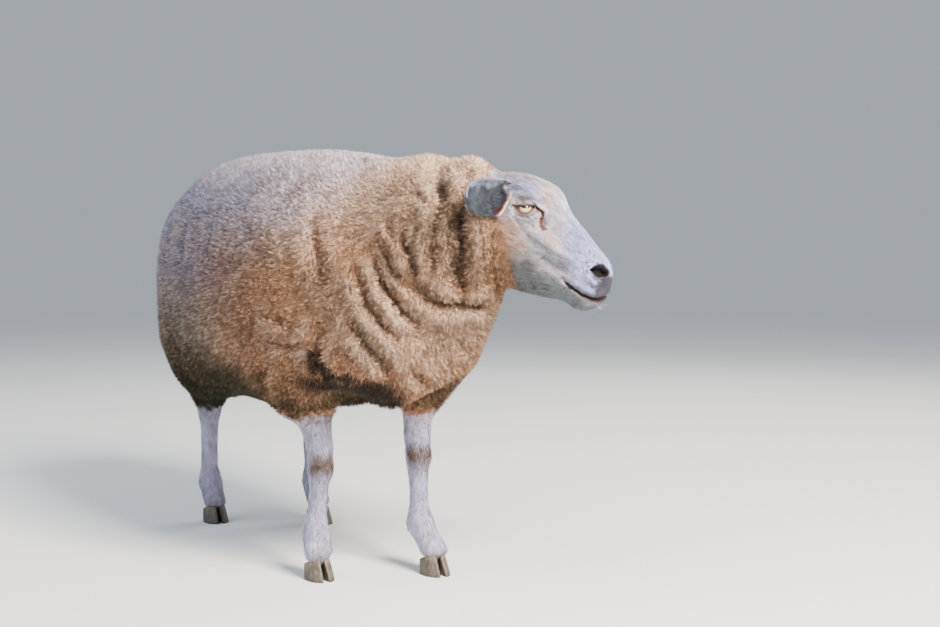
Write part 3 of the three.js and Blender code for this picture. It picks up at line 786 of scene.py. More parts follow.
def on_ear(p, n):
    """How far along an ear each point lies (0 the root, 1 the tip, -1 off the ears), how far across
    (-1 the lower edge, 1 the upper), and 1 in the hollow or 0 on the back."""
    along, across, hollow = np.full(len(p), -1.0), np.zeros(len(p)), np.zeros(len(p))
    for sign, (tree, backs, S, V) in ear_sheets.items():
        close = np.flatnonzero(off(p, ear_axis(sign)) < EAR_REACH)
        found = [tree.find(q) for q in p[close]]
        hit = np.array([f[2] < EAR_SKIN * 0.0018 for f in found], bool)
        row = np.array([f[1] for f in found], int)[hit]
        at = close[hit]
        along[at], across[at] = S[row], V[row]
        hollow[at] = ease(0.3, -0.3, np.sum(n[at] * backs[row], 1))
    return along, across, hollow


def ear_place(p, n):
    return on_ear(p, n)[0]


for sign in SIDES.values():
    ear = add_object("ear", ear_leaf(sign))
    skin = modified(skin, "BOOLEAN", operation="UNION", object=ear, solver="EXACT")
    bpy.data.objects.remove(ear)
co, edges = coords(skin), edges_of(skin)
s = ear_place(co, normals(skin))
co = smooth(co, edges, 0.5 * near(s, 0.12, 0.10) * (s > -0.5), 3)
set_coords(skin, smooth(co, edges, 0.35 * ease(0.1, 0.2, s), 2))
shade_smooth(skin)

# ---------- The skin's own unwrap: islands laid flat from its shape, in a map named OFBake ----------

skin_ob = piece("skin", skin, "fleece", *FLESH, *EARS)
bpy.context.view_layer.objects.active = skin_ob
skin_ob.select_set(True)
bpy.ops.object.mode_set(mode="EDIT")
bpy.ops.mesh.select_all(action="SELECT")
bpy.ops.uv.smart_project(angle_limit=math.radians(66), island_margin=0.002)
bpy.ops.object.mode_set(mode="OBJECT")
skin_ob.select_set(False)
skin.uv_layers[0].name = "OFBake"

# ---------- Marks with painted light and shade: one set of rules that colours the skin and the coat ---

# Linear colours.
CREAM, SUNNY, PALE = np.array([(0.72, 0.388, 0.228), (0.86, 0.605, 0.45), (0.72, 0.63, 0.74)])
DUSKY, SHADE_AND_DIRT, BROWN = np.array([(0.34, 0.222, 0.147), (0.060, 0.046, 0.036), (0.040, 0.035, 0.015)])
LILAC, OLIVE, TAN = np.array([(0.385, 0.370, 0.490), (0.25, 0.225, 0.170), (0.52, 0.265, 0.135)])
WHITE, COOL, PEACH = np.array([(0.60, 0.565, 0.66), (0.38, 0.46, 0.80), (0.70, 0.49, 0.42)])
GREY, CHEEK_SHADE, JAW = np.array([(0.30, 0.29, 0.29), (0.30, 0.27, 0.22), (0.17, 0.21, 0.23)])
EAR_GREY, EAR_RED = np.array([(0.040, 0.048, 0.066), (0.055, 0.020, 0.020)])
NOSE_SKIN, DARK = np.array([(0.031, 0.025, 0.043), (0.022, 0.012, 0.012)])
LID_RED, GLAND_PINK = np.array([(0.16, 0.055, 0.050), (0.22, 0.115, 0.095)])
LASH, SKIN_SHOWS = np.array([(0.20, 0.16, 0.14), (0.84, 0.76, 0.76)])

# Lines on the body in millimetres: the notch between foreleg and brisket, and the low shoulder.
ARMPIT = [(-201, -309, 416), (-187, -312, 397), (-171, -319, 383), (-152, -328, 374), (-131, -330, 358),
          (-109, -322, 342), (-85, -310, 325)]
ELBOW = [(-197, -328, 560), (-160, -365, 500), (-120, -385, 440)]
# Lines by the head as (a, z): the fold behind the cheek, with painted shade in it, the tear line's colour,
# the gland's rim and its middle, and the small dark spots on the face.
NECK_FOLD = [(-70, 66), (-64, 18), (-61, -25), (-60, -68), (-55, -105)]
TEAR = [(73, 33.5), (80.5, 28.5), (88.5, 21.5), (88.5, 13), (86, 6)]
GLAND_RIM = [(85.5, 13), (83.8, 5), (85, -4), (91, -8), (96, -7)]
GLAND_MIDDLE = [(90.5, 12), (91, 2), (95, -1)]
GLAND = [(89, 12), (88, 4), (89, -3)]
SPOTS = [(122.8, -57), (159.6, -50.3), (172, -64.3), (148, -60), (137, -52)]
SPOT_RADII = (1.3, 1.3)


def layered(rgb, layers):
    """Lays colours over rgb in turn, each by its own share."""
    for color, share in layers:
        rgb = rgb + (color - rgb) * np.clip(share, 0, 1)[:, None]
    return rgb


def wool_color(p, n):
    """The fleece, with painted sunlight on the back, ruff and chest, and painted shade on the rump, under
    the belly, low on the hind legs and in the creases and folds; darker low on the sides.
    """
    x, y, z = p.T
    flat, up = level(p), n[:, 2]
    a, head_z = flat.T
    drawn = p * [1, 1, 0.35]
    rump = ease(-0.22, 0.03, y + 0.35 * (z - 0.60) + 0.06 * noise(p, 0.08, 22))
    rump *= mix(1.0, 0.9, ease(0.30, 0.50, y))
    shaded = mix(0.30, 0.95, ease(0.06, -0.10, x))
    cool_rump = shaded * rump
    hind = ease(0.02, 0.34, y + 0.05 * noise(p, 0.08, 22))
    notch = off(p * 1000, ARMPIT)
    armpit = ease(34, 14, notch + 14 * noise(p, 0.012, 26))
    armpit = np.maximum(armpit, ease(90, 45, notch) * ease(0.05, -0.40, up) * ease(0.40, 0.37, z))
    crease = crease_shape(p)
    ruff = ease(-100, -55, a) * ease(-150, -90, head_z)
    near_side = mix(0.4, 1.0, ease(-45, -10, in_head(p)[2]))
    fold = near_side * ease(24, 6, off(flat, NECK_FOLD) + 7 * noise(drawn, 0.012, 97))
    dusk = (0.22 + 0.5 * ease(0.0, 0.8, noise(drawn, 0.012, 29))) * ease(-130, -60, a)
    return layered(CREAM, [
        # Painted sunlight: the top of the back and ruff is lighter.
        (SUNNY, 0.85 * ease(0.56, 0.74, z + 0.02 * noise(p, 0.05, 20))),
        # Painted sunlight on the chest.
        (SUNNY, 0.55 * ease(-0.33, -0.42, y) * ease(0.36, 0.42, z) * ease(0.54, 0.48, z)),
        (DUSKY, 0.75 * ease(0.60, 0.40, z + 0.05 * noise(p, 0.09, 21)) * ease(-0.15, 0.18, y)),
        # Painted sky light: a pale lilac on the upward-facing wool of the back and shoulders.
        (PALE, 0.85 * ease(0.05, 0.65, up) * ease(-0.36, -0.20, y) * ease(0.52, 0.64, z)),
        # Painted shade on the rump: blue-lilac higher up and olive lower down.
        (mix(DUSKY, LILAC, shaded[:, None]), 0.86 * cool_rump * ease(0.37, 0.57, z) * ease(1.2, 0.6, up)),
        (OLIVE, 0.65 * cool_rump * ease(0.60, 0.46, z)),
        (DUSKY, 0.55 * ease(0.1, 0.9, noise(p, 0.055, 23)) * (1 - 0.6 * rump)),
        (SUNNY, 0.30 * ease(0.1, 0.9, noise(p, 0.04, 24))),
        # Painted shade low on the hind legs' wool.
        (BROWN, 0.94 * hind * ease(0.45, 0.34, z + 0.03 * noise(p, 0.05, 25))),
        # Painted shade on the wool that faces down, under the belly and brisket.
        (BROWN, 0.90 * ease(-0.15, -0.75, up) * ease(0.46, 0.36, z) * ease(-0.33, -0.24, y)),
        (DUSKY, 0.78 * ease(65, 20, off(p * 1000, ELBOW))),
        (CREAM, 0.55 * ease(0.44, 0.40, z) * ease(-0.20, -0.25, y) * ease(-0.12, -0.16, x)),
        # Painted shade in the notch between foreleg and brisket, and on the downward wool beside it.
        (SHADE_AND_DIRT * 0.5, 0.96 * armpit),
        # Painted highlight where the wool swells beside each crease.
        (SUNNY, 0.45 * ease(-1.5, -6, crease) * mix(0.2, 1.0, ease(-0.08, -0.20, y))),
        # Painted shade down in the creases.
        (SHADE_AND_DIRT * 0.6, 0.95 * ease(4.0, 14.0, crease) * mix(1.0, 0.35, ease(0.06, 0.10, x))),
        (TAN, 0.75 * ease(-34, -2, a) * ruff * ease(60, 25, head_z)),
        # Painted shade in the fold behind the cheek.
        (SHADE_AND_DIRT, 0.90 * fold * (0.30 + 0.70 * ease(-0.3, 0.4, noise(drawn, 0.006, 27)))),
        (DUSKY, 0.80 * blob(flat, (-118, -10), (60, 75)) * ease(-0.30, -0.36, y)),
        # Painted shade in the ruff's small upright folds, as dark streaks.
        (SHADE_AND_DIRT, 0.7 * near_side * ruff * ease(0.15, 0.8, noise(drawn, 0.007, 28)) * ease(45, -20, head_z)),
        (DUSKY, dusk * ease(75, 45, head_z)),
    ])


def face_color(p, n):
    """White, with a painted sky-blue cast towards the nose, a tan cheek, a dark nose, lips and lids, and
    painted shade under the jaw and in the face's hollows, creases and grooves.
    """
    flat = level(p)
    a, z = flat.T
    t, up, w = in_head(p)
    w = np.abs(w)
    sideways = ease(0.15, 0.5, np.abs(n @ SIDE))
    past_wool = a - np.interp(z, WOOL_EDGE_Z, WOOL_EDGE_A) + 8 * noise(p, 0.012, 98)
    rgb = layered(WHITE, [
        # Painted sky light: a blue cast towards the nose and over the brow.
        (COOL, 0.9 * ease(110, 160, a + 10 * noise(p, 0.02, 38))),
        (COOL, 0.5 * blob(flat, (40, 62), (40, 14))),
        # Painted sunlight on the front of the brow.
        (PEACH, 0.85 * blob(flat, (100, 50), (8, 20), -20) * sideways),
        (PEACH, 0.55 * ease(-0.1, 0.7, noise(p, 0.02, 30)) * ease(140, 110, a)),
        (COOL, 0.35 * ease(0.0, 0.7, noise(p, 0.018, 45))),
        (TAN, 0.85 * ease(62, -4, past_wool) * ease(30, 0, z)),
        # Painted shade below the mouth's corner.
        (JAW, 0.65 * blob(flat, (116, -112), (26, 15), -25)),
        # Painted shade in the cheek's hollow, behind the mouth's corner.
        (CHEEK_SHADE, 0.75 * blob(flat, (66, -78), (20, 8), -35) * sideways),
        # Painted shade on the face where it turns down, under the jaw.
        (JAW, 0.90 * ease(0.15, -0.65, n[:, 2])),
    ])
    rgb = rgb * (1 + 0.13 * noise(p, 0.008, 43) + 0.10 * noise(p, 0.024, 44))[:, None]

    wavy = 4 * noise(p, 0.007, 99)
    pad = ease(207, 216, t + wavy) * ease(3, 13, up + wavy) * ease(66, 57, up + wavy + 16 * ease(8, 28, w))
    lips = blob(flat, (198, -107), (20, 18)) + 0.35 * noise(p, 0.004, 41)
    pad = np.maximum(pad, ease(0.15, 0.75, lips) * sideways)
    mottled = 1.0 + 0.30 * noise(p, 0.003, 50) + 0.25 * noise(p, 0.010, 51) - 0.35 * ease(3.5, 1.0, w)
    dot = np.linalg.norm(cells(p, 0.0080, 92)[0], axis=1)
    dot = ease(0.0024, 0.0014, dot) * ease(-0.2, 0.2, noise(p, 0.015, 42))
    rim, on_nose = from_nostril(flat), ease(10, 14, w)
    low_in_it = ease(8, -4, z + 79 + 0.35 * (a - 188))
    mouth, place = to_line(flat, MOUTH)
    mouth = mouth + 1.3 * noise(p, 0.005, 36)
    thick = np.interp(place, [0, 0.06, 0.15, 0.4, 0.7, 1], [1.0, 3.2, 3.2, 2.7, 3.2, 2.6])
    lower_lip = off(flat - np.array([-3, -7]), MOUTH)
    rgb = layered(rgb, [
        # Painted shade in the crease under the eye.
        (GREY, 0.35 * blob(flat, (45, 5), (5, 12), 20) * sideways),
        *((DARK, 0.55 * blob(flat, spot, SPOT_RADII) * sideways) for spot in SPOTS),
        # Painted shade under the chin.
        (JAW * 0.85, 0.95 * blob(flat, (168, -141), (36, 16), -8)),
        (NOSE_SKIN * 1.6, 0.80 * dot * ease(125, 160, a)),
        (NOSE_SKIN * mottled[:, None], 0.96 * pad),
        (NOSE_SKIN, ease(1.45, 1.05, rim) * on_nose),
        # Painted shade inside the nostril, deepest low in it.
        (DARK * 0.3, ease(1.15, 0.8, rim) * on_nose * (0.35 + 0.65 * low_in_it)),
        # Painted shade under the lower lip.
        (GREY * 0.8, 0.75 * ease(11, 3, lower_lip) * ease(128, 150, a)),
        (NOSE_SKIN, 0.85 * ease(thick + 5, thick, mouth) * ease(150, 185, a)),
        # Painted shade along the groove between the lips.
        (DARK * 1.6, ease(thick + 1.2, thick - 0.4, mouth)),
    ])

    ragged = noise(p, 0.004, 37)
    tear = off(flat, TEAR) + ragged
    inner = np.hypot((a - 89.5) / 6.0, (z - 1.5) / 11.5) + 0.05 * ragged
    opening = lid_gap(flat - EYE)
    below = ease(EYE[1] + 6, EYE[1], z)
    by_eye = [
        (LID_RED, 0.75 * ease(5.5, 2.0, tear)),
        (DARK * 1.5, ease(3.2, 1.2, tear)),
        (GLAND_PINK, 0.85 * ease(1.35, 0.65, inner)),
        (DARK * 3, 0.75 * ease(3.2, 0.6, off(flat, GLAND_RIM) + ragged)),
        (LID_RED * 0.7, 0.7 * ease(2.6, 0.4, off(flat, GLAND_MIDDLE) + ragged)),
        # Painted shade round the lids' opening, under the brow.
        (GREY * 0.8, 0.5 * ease(-6, -2, opening) * ease(6, 20, z)),
        (LID_RED * 1.4, 0.9 * ease(-6.5, -3.0, opening + ragged) * below),
        (DARK, ease(-4.2, -2.0, opening) * (1 - below)),
        (DARK, 0.8 * ease(-1.6, -0.2, opening) * below),
        # Painted shade in the crease at the eye's outer corner.
        (DARK * 2, 1.2 * blob(flat, (38, 34.5), (5, 2.4), -15)),
    ]
    return layered(rgb, [(color, share * (w > FACE_HALF)) for color, share in by_eye])


def leg_color(p, n):
    """White with a painted sky-blue shade, a dusky patch on each knee or hock, and soil above the hooves."""
    z = p[:, 2]
    # The blue share is painted shade.
    rgb = mix(WHITE, COOL, 0.4) * (1 + 0.14 * noise(p, 0.009, 46) + 0.12 * noise(p, 0.025, 47))[:, None]
    front = ease(0.3, -0.5, n[:, 1] + 0.4 * noise(p, 0.02, 31))
    dusk = 1.15 * front * (0.85 + 0.20 * noise(p, 0.007, 32))
    soiled = 0.5 * ease(0.10, 0.06, z) * ease(-0.2, 0.6, noise(p, 0.02, 33))
    flecks = 0.8 * ease(0.22, 0.30, z) * ease(0.20, 0.65, noise(p, 0.006, 34))
    for leg, line in LEG_LINES.items():
        own = on_leg(p, line)
        patch = near(z, line[1][2] / 1000 - 0.004, 0.023) * (1 if leg.startswith("fore") else 0.4)
        rgb = layered(rgb, [
            (DUSKY * 0.35, own * patch * dusk),
            (GREY, own * soiled),
            (DUSKY, own * 0.40 * ease(0.055, 0.03, z)),
            (SHADE_AND_DIRT, own * flecks),
            (TAN, own * 0.20 * ease(0.25, 0.30, z)),
        ])
    return rgb


def ear_color(p, s, across, hollow):
    """White on the back, with painted sunlight on the front rim; painted grey-blue shade in the hollow, and
    dark red shade deep by the root.
    """
    front = ease(0.38, 0.28, s) * ease(-0.86, -0.95, across)
    hollow = np.maximum(hollow, ease(0.86, 0.95, np.abs(across)) * ease(0.25, 0.4, s))
    hollow = np.maximum(hollow, ease(0.90, 0.97, s)) * (1 - front)
    rgb = layered(WHITE * 0.98, [
        # Painted shade in the hollow: blue-grey, lighter towards its upper edge.
        (COOL * 0.6, 0.6 * hollow),
        (EAR_GREY, hollow * (1 - 0.65 * ease(0.42, 0.95, across + 0.25 * noise(p, 0.008, 39)))),
    ])
    # Painted light on the hollow's upper part by the tip, mottled.
    glow = 0.5 * blob(level(p), (-32, 58), (12, 22)) + 0.35 * noise(p, 0.007, 40)
    return layered(rgb * (0.92 + hollow * glow)[:, None], [
        # Painted shade deep in the cup by the root, dark red.
        (EAR_RED, 1.2 * hollow * ease(0.42, 0.33, s) * ease(0.12, 0.24, s) * ease(-0.55, -0.80, across)),
        # Painted sunlight on the ear's front rim.
        (PEACH, front),
    ])


def marks_and_shading(p, n):
    """The colour at each point of the skin, painted light and shade included, and how far it is face, leg
    and wool.
    """
    s, across, hollow = on_ear(p, n)
    ear = ease(0.06, 0.12, s)
    face = bare_face(p, 4) * (1 - ear)
    leg = bare_leg(p, 0.006)
    rgb = layered(wool_color(p, n), [
        (face_color(p, n), face), (leg_color(p, n), leg), (ear_color(p, s, across, hollow), ear),
    ])
    return rgb, face, leg, (1 - face) * (1 - leg) * (1 - ear)


def nose_front(p, start):
    """1 on the hairless front of the nose, which begins start millimetres along the head."""
    t, up, _ = in_head(p)
    return ease(start, 216, t) * ease(4, 12, up) * ease(66, 58, up)


co, n = coords(skin), normals(skin)
rgb, face, leg, wool = marks_and_shading(co, n)
# Under the wool the skin is darker: painted shade deep in the coat, which shows through its gaps.
rgb = rgb * mix(1.0, 0.44 + 0.1 * noise(co, 0.01, 35), wool)[:, None]
paint(skin, rgb * mix(1, SKIN_SHOWS, np.maximum(face, leg)[:, None]), skin_mat)
wet = face * np.maximum(ease(-2.2, -0.6, lid_gap(level(co) - EYE)), 0.55 * nose_front(co, 206))
fill(skin.attributes.new("wet", "FLOAT", "POINT").data, "value", wet)

# ---------- The coat: joined meshes of thin tufts ----------

UV_PATCH = 0.003
STAPLES, TUFTS_A_STAPLE, STAPLE_REACH = 50000, 5, 0.0014
FACE_HAIRS, LEG_HAIRS = 420000, 240000  # for each square metre, as STAPLES
WHISKER_PLACES = 90000
WOOL_PIECES = 6
ROOT_DEPTH = 0.0012
SPECK_SHARE, SPECK_SHADE = 0.09, 0.38  # a few of the wool's tufts are dark
TIP_GAIN, TIP_TOP, TIP_CLIP = 1.68, 0.96, 0.94  # wool tips are lighter, but held below white
TUFT_FLAT = 0.6  # a tuft's thickness as a share of its width
STRAIGHT = np.array([(0, 3, 1), (1, 3, 2), (2, 3, 0)])
BENT = np.array(
    [(0, 4, 1), (0, 3, 4), (1, 5, 2), (1, 4, 5), (2, 3, 0), (2, 5, 3), (3, 6, 4), (4, 6, 5), (5, 6, 3)]
)
BODY_LIE, RUMP_LIE = np.array([(0.0, 0.55, -0.85), (0.0, 0.1, -1.0)])
LEG_LIE, NECK_LIE = np.array([(0.0, 0.15, -1.0), (-0.25, 0.20, -0.9)])


def surface(mesh):
    """The mesh's triangles: corners, normals and flat-map places, each n x 3 x (3 or 2), and areas."""
    mesh.calc_loop_triangles()
    corners, loops = (values(mesh.loop_triangles, name, 3, np.int32) for name in ("vertices", "loops"))
    uv = values(mesh.uv_layers["OFBake"].data, "uv", 2, np.float32).astype(float)[loops]
    p = coords(mesh)[corners]
    area = np.linalg.norm(np.cross(p[:, 1] - p[:, 0], p[:, 2] - p[:, 0]), axis=1) / 2
    return p, normals(mesh)[corners], uv, area


def scatter(where, per_m2):
    """Places on the skin, about per_m2 of them for each square metre, times where(points, normals)."""
    p, n, uv, area = SURFACE
    wanted = area * per_m2 * where(p.mean(1), unit(n.mean(1)))
    pick = np.repeat(np.arange(len(p)), np.floor(wanted + rng.random(len(wanted))).astype(int))
    r = rng.random((len(pick), 2))
    flip = r.sum(1) > 1
    r[flip] = 1 - r[flip]
    weight = np.column_stack([1 - r.sum(1), r])[..., None]
    p, n, uv = (np.sum(v[pick] * weight, 1) for v in (p, n, uv))
    return p, unit(n), uv


def flow(p, n):
    """The lie of the coat, along the skin: back and down on the body, up the face to the poll."""
    _, y, z = p.T
    _, up, w = in_head(p)
    cheek = ease(60, -30, up)[:, None]
    head = -0.9 * ALONG - 0.45 * cheek * ABOVE + 0.25 * np.sign(w)[:, None] * SIDE
    ear = ease(0.06, 0.2, ear_place(p, n))
    lie = layered(BODY_LIE, [
        (RUMP_LIE, ease(0.30, 0.44, y)),
        (LEG_LIE, ease(0.33, 0.26, z)),
        (NECK_LIE, ease(-0.26, -0.38, y) * ease(0.34, 0.42, z)),
        (head, bare_face(p, 14)),
        *((out_along(sign), ear * (w * sign > 0)) for sign in SIDES.values()),
    ])
    return along_skin(lie, n)


def tufts(root, n, lie, length, width, rise, uv, low, high, bend=0.0):
    """Thin three-sided locks: a ring at the root, for bent ones a ring half way, and a tip."""
    side = unit(np.cross(lie, n))
    length, width, rise = (np.broadcast_to(v, len(root))[:, None] for v in (length, width, rise))
    first, last = (lie * np.cos(rise + turn) + n * np.sin(rise + turn) for turn in (bend, -bend))
    base = root - first * np.minimum(ROOT_DEPTH, length * 0.2)
    middle = root + first * length * 0.5
    rings = [(base, first, width * 0.5, low, -1)]
    if bend:
        rings.append((middle, last, width * 0.4, (low + high) / 2, 0))
    points, colors, spread = [], [], []
    for centre, heading, wide, rgb, v in rings:
        out = np.cross(side, heading)
        for u, turn in zip((-1, 1, 0), (90, 210, 330)):
            c, s = math.cos(math.radians(turn)), math.sin(math.radians(turn))
            points.append(centre + side * wide * c + out * wide * TUFT_FLAT * s)
            colors.append(rgb)
            spread.append((u, v))
    points.append(middle + last * length * 0.5)
    colors.append(high)
    spread.append((0, 1))
    uv = uv[:, None] + np.array(spread)[None] * UV_PATCH / 2
    return np.stack(points, 1), np.stack(colors, 1), uv


def coat_piece(name, slot, material, *made):
    """One object of tufts, riding with the skin."""
    faces, start = [], 0
    for points, _, _ in made:
        count, corners = points.shape[:2]
        shape = STRAIGHT if corners == 4 else BENT
        faces.append((shape[None] + start + np.arange(count)[:, None, None] * corners).reshape(-1, 3))
        start += count * corners
    faces = np.concatenate(faces)
    points, colors, uv = (np.concatenate([m[k].reshape(-1, m[k].shape[2]) for m in made]) for k in range(3))
    mesh = mesh_of(name, points, [faces])
    fill(mesh.uv_layers.new(name="OFBake").data, "uv", uv[faces.ravel()])
    paint(mesh, colors, material)
    piece(name, mesh, slot)


def wool_share(p, n):
    return (1 - bare_face(p, 5, 4)) * (1 - bare_leg(p, 0.011)) * (ear_place(p, n) < 0.12)


def wool_tufts():
    """Staples of a few tufts whose tips draw together, in blocks with cracks between them."""
    p, n, uv = scatter(wool_share, STAPLES)
    depth, rgb = coat_depth(p), marks_and_shading(p, n)[0]
    rough = 1 - 0.30 * ease(-0.25, 0.05, p[:, 1]) * ease(0.36, 0.55, p[:, 2])
    way, crack = cells((p + 0.003 * noise3(p, 0.012, 57)) * [1, 1, 0.5], 0.017, 90)
    small_way, small_crack = cells(p * [1, 1, 0.8], 0.0065, 91)
    sway = 0.20 * noise3(p, 0.012, 50) + 0.20 * noise3(p, 0.040, 53) + 0.35 * noise3(p, 0.006, 56)
    lean = rough[:, None] * (26 * way + 48 * small_way)
    lie = along_skin(flow(p, n) + rough[:, None] * sway, n)
    long = depth * (0.86 + rough * (0.10 * noise(p, 0.008, 60) + 0.10 * noise(p, 0.030, 61))) + 0.0018
    rise = np.radians(mix(62, 80, rough) + 8 * noise(p, 0.010, 62))
    short = 1 - 0.72 * ease(1.5, 10, crease_shape(p))
    patchy = 0.16 * noise(p, 0.006, 63) + 0.14 * noise(p, 0.014, 64) + 0.10 * noise(p, 0.035, 65)
    patchy = 1 + rough * patchy
    # Painted shade: tufts at the cracks between blocks of wool are darker.
    patchy *= 1 - rough * (0.52 + 0.25 * ease(-0.36, -0.42, p[:, 1])) * ease(0.0036, 0.0008, crack)
    patchy *= 1 - (0.30 + 0.35 * rough) * ease(0.0018, 0.0005, small_crack)
    # Painted shade deep in the fleece: each tuft's root is darker than its tip, less so on the top and
    # chest.
    chest = ease(-0.35, -0.41, p[:, 1]) * ease(0.54, 0.48, p[:, 2])
    below = 0.28 + 0.22 * np.maximum(ease(0.60, 0.74, p[:, 2]), chest)

    def each(v):
        """A value for each staple, as one for each tuft."""
        return np.repeat(v, TUFTS_A_STAPLE, 0)

    lie, n, rise, long = each(lie), each(n), each(rise), each(long)
    away = rng.normal(size=(len(n), 2)) * STAPLE_REACH
    shift = away[:, :1] * lie + away[:, 1:] * np.cross(n, lie)
    pull = -shift * 0.70 / long[:, None] + rng.normal(size=shift.shape) * 0.09 + each(lean)
    rise = rise + np.radians(14) * (rng.random(len(n)) - 0.5)
    heading = unit(lie * np.cos(rise)[:, None] + n * np.sin(rise)[:, None] + pull)
    up = np.sum(heading * n, 1)
    length = long * (0.80 + 0.35 * rng.random(len(n))) * each(short)
    width = mix(0.0010, 0.0014, ease(0.002, 0.010, each(depth))) * (0.8 + 0.4 * rng.random(len(n)))
    shade = each(patchy * (0.92 + 0.16 * rng.random(len(p)))) * (0.86 + 0.28 * rng.random(len(n)))
    shade = np.where(rng.random(len(n)) < SPECK_SHARE, shade * SPECK_SHADE, shade)
    low, high = each(rgb * below[:, None]), each(rgb) * (TIP_GAIN * shade)[:, None]
    held = high * np.minimum(1, TIP_TOP / high.max(1))[:, None]
    high = (held + np.clip(high, 0, TIP_CLIP)) / 2
    lie, rise = along_skin(heading, n), np.arcsin(np.clip(up, 0.15, 0.98))
    return tufts(each(p) + shift, n, lie, length, width, rise, each(uv), low, high)


def hair_tufts(where, per_m2, length, width, rise, spread=0.25, contrast=0.70):
    """Short hair that lies along the skin."""
    p, n, uv = scatter(where, per_m2)
    sway = spread * noise3(p, 0.008, 70) + 0.5 * spread * rng.normal(size=p.shape)
    lie = along_skin(flow(p, n) + sway, n)
    size = 0.75 + 0.5 * rng.random(len(p))
    rgb = marks_and_shading(p, n)[0] * (0.80 + 0.34 * rng.random(len(p)) + 0.54 * streaks(p))[:, None]
    high = np.clip(rgb * 1.08, 0, 0.92)
    long = length(p) if callable(length) else length
    # Each hair is darker at its root by contrast: painted shade where it lies under the others.
    return tufts(p, n, lie, long * size, width, np.radians(rise) * size, uv, rgb * contrast, high)


def streaks(p):
    """Fine light and dark drawn out along the face and down the legs, from -1 to 1."""
    t, up, w = np.array(in_head(p)) / 1000
    head = 0.7 * noise(np.column_stack([t * 0.22, up, w]), 0.0028, 71)
    head += 0.5 * noise(np.column_stack([t * 0.3, up, w]), 0.006, 72)
    return np.where(p[:, 2] < 0.34, noise(p * [1, 1, 0.25], 0.0035, 73), head)


def face_hair_length(p):
    t, _, _ = in_head(p)
    return 0.001 * (2.6 + 4.4 * ease(210, 110, t)) * (0.40 + 0.60 * ease(4, 14, off(level(p), SLIT)))


def face_hair_share(p, n):
    """The face without its bare places: the lids' rims, the gland, the nose, the nostrils and the lips."""
    flat = level(p)
    clear = 1 - ((lid_gap(flat - EYE) > -2.2) & beside(p))
    clear = clear * ease(1.1, 1.5, from_nostril(flat)) * ease(2.0, 3.5, off(flat, MOUTH))
    clear = clear * (1 - nose_front(p, 208)) * ease(3, 5, off(flat, GLAND))
    return bare_face(p, 6, -6) * clear * (ear_place(p, n) < 0.14)


WHISKERS = [  # where they stand as (a, z), how far round it, how many a side, length and lean in degrees
    ((98, 44), (9, 22), 16, 0.015, 46),
    ((64, 62), (22, 7), 14, 0.012, 40),
    ((178, -140), (20, 6), 6, 0.011, 45),
    ((172, -142), (24, 8), 12, 0.013, 45),
    ((190, -56), (20, 9), 8, 0.008, 40),
]
LASHES, LASH_LENGTH, LASH_LEAN = 150, 0.009, 24
WHISKER_WIDTH, WHISKER_BEND = 0.00030, 0.3


def whiskers():
    """Sparse long hairs on the brow, lips and chin, and the lashes along each upper lid."""
    made = []
    p, n, uv = scatter(lambda p, n: (bare_face(p) > 0.5) & (ear_place(p, n) < 0), WHISKER_PLACES)
    flat = level(p)
    for centre, reach, count, long, lean in WHISKERS:
        inside = np.flatnonzero(np.hypot(*((flat - centre) / reach).T) < 1)
        pick = rng.choice(inside, min(2 * count, len(inside)), replace=False)
        made.append((pick, long, lean, WHITE * 1.1, 0.7 * LEVEL - 0.7 * UP, 0.5))
    gap = lid_gap(flat - EYE)
    lid = np.flatnonzero((gap > -3.4) & (gap < -1.2) & (flat[:, 1] > EYE[1] + 2) & beside(p))
    pick = rng.choice(lid, min(LASHES, len(lid)), replace=False)
    made.append((pick, LASH_LENGTH, LASH_LEAN, LASH, LEVEL - 0.5 * UP, 0))
    out = []
    for pick, long, lean, rgb, lie, stray in made:
        size = long * (0.6 + 0.8 * rng.random(len(pick)))
        lie = along_skin(unit(lie + (stray * rng.normal(size=(len(pick), 3)) if stray else 0)), n[pick])
        rgb = np.tile(rgb, (len(pick), 1))
        rest = size, WHISKER_WIDTH, np.radians(lean), uv[pick], rgb * 0.8, rgb
        out.append(tufts(p[pick], n[pick], lie, *rest, bend=WHISKER_BEND))
    return out


SURFACE = surface(skin)
wool_made = wool_tufts()
face_made = hair_tufts(
    face_hair_share, FACE_HAIRS, length=face_hair_length, width=0.0009, rise=20, contrast=0.62)
leg_made = hair_tufts(
    lambda p, n: bare_leg(p, 0.011), LEG_HAIRS, length=0.0065, width=0.0010, rise=15)
ear_made = hair_tufts(
    lambda p, n: ear_place(p, n) > 0.10, FACE_HAIRS, length=0.0060, width=0.0007, rise=22, spread=0.4)

tips = wool_made[0][:, -1]
order = np.argsort(tips[:, 1] + 0.3 * tips[:, 2], kind="stable")
for i, part in enumerate(np.array_split(order, WOOL_PIECES)):
    coat_piece(f"wool_{i + 1}", "fleece", wool_mat, [rows[part] for rows in wool_made])
coat_piece("hair_head", "hair", hair_mat, face_made, ear_made, *whiskers())
coat_piece("hair_legs", "hair", hair_mat, leg_made)

# ---------- The eyes ----------

# Millimetres across the eye: the iris's edge, the swell over it, and half the pupil's length and
# height, with how far above the middle it sits.
IRIS = 10.0
SWELL, SWELL_EDGE = 0.9, math.radians(42)
PUPIL_LONG, PUPIL_HIGH, PUPIL_UP = 7.2, 2.4, 3.0
EYE_WHITE, IRIS_PALE, IRIS_GOLD = np.array([(0.30, 0.20, 0.15), (0.56, 0.49, 0.28), (0.46, 0.31, 0.10)])


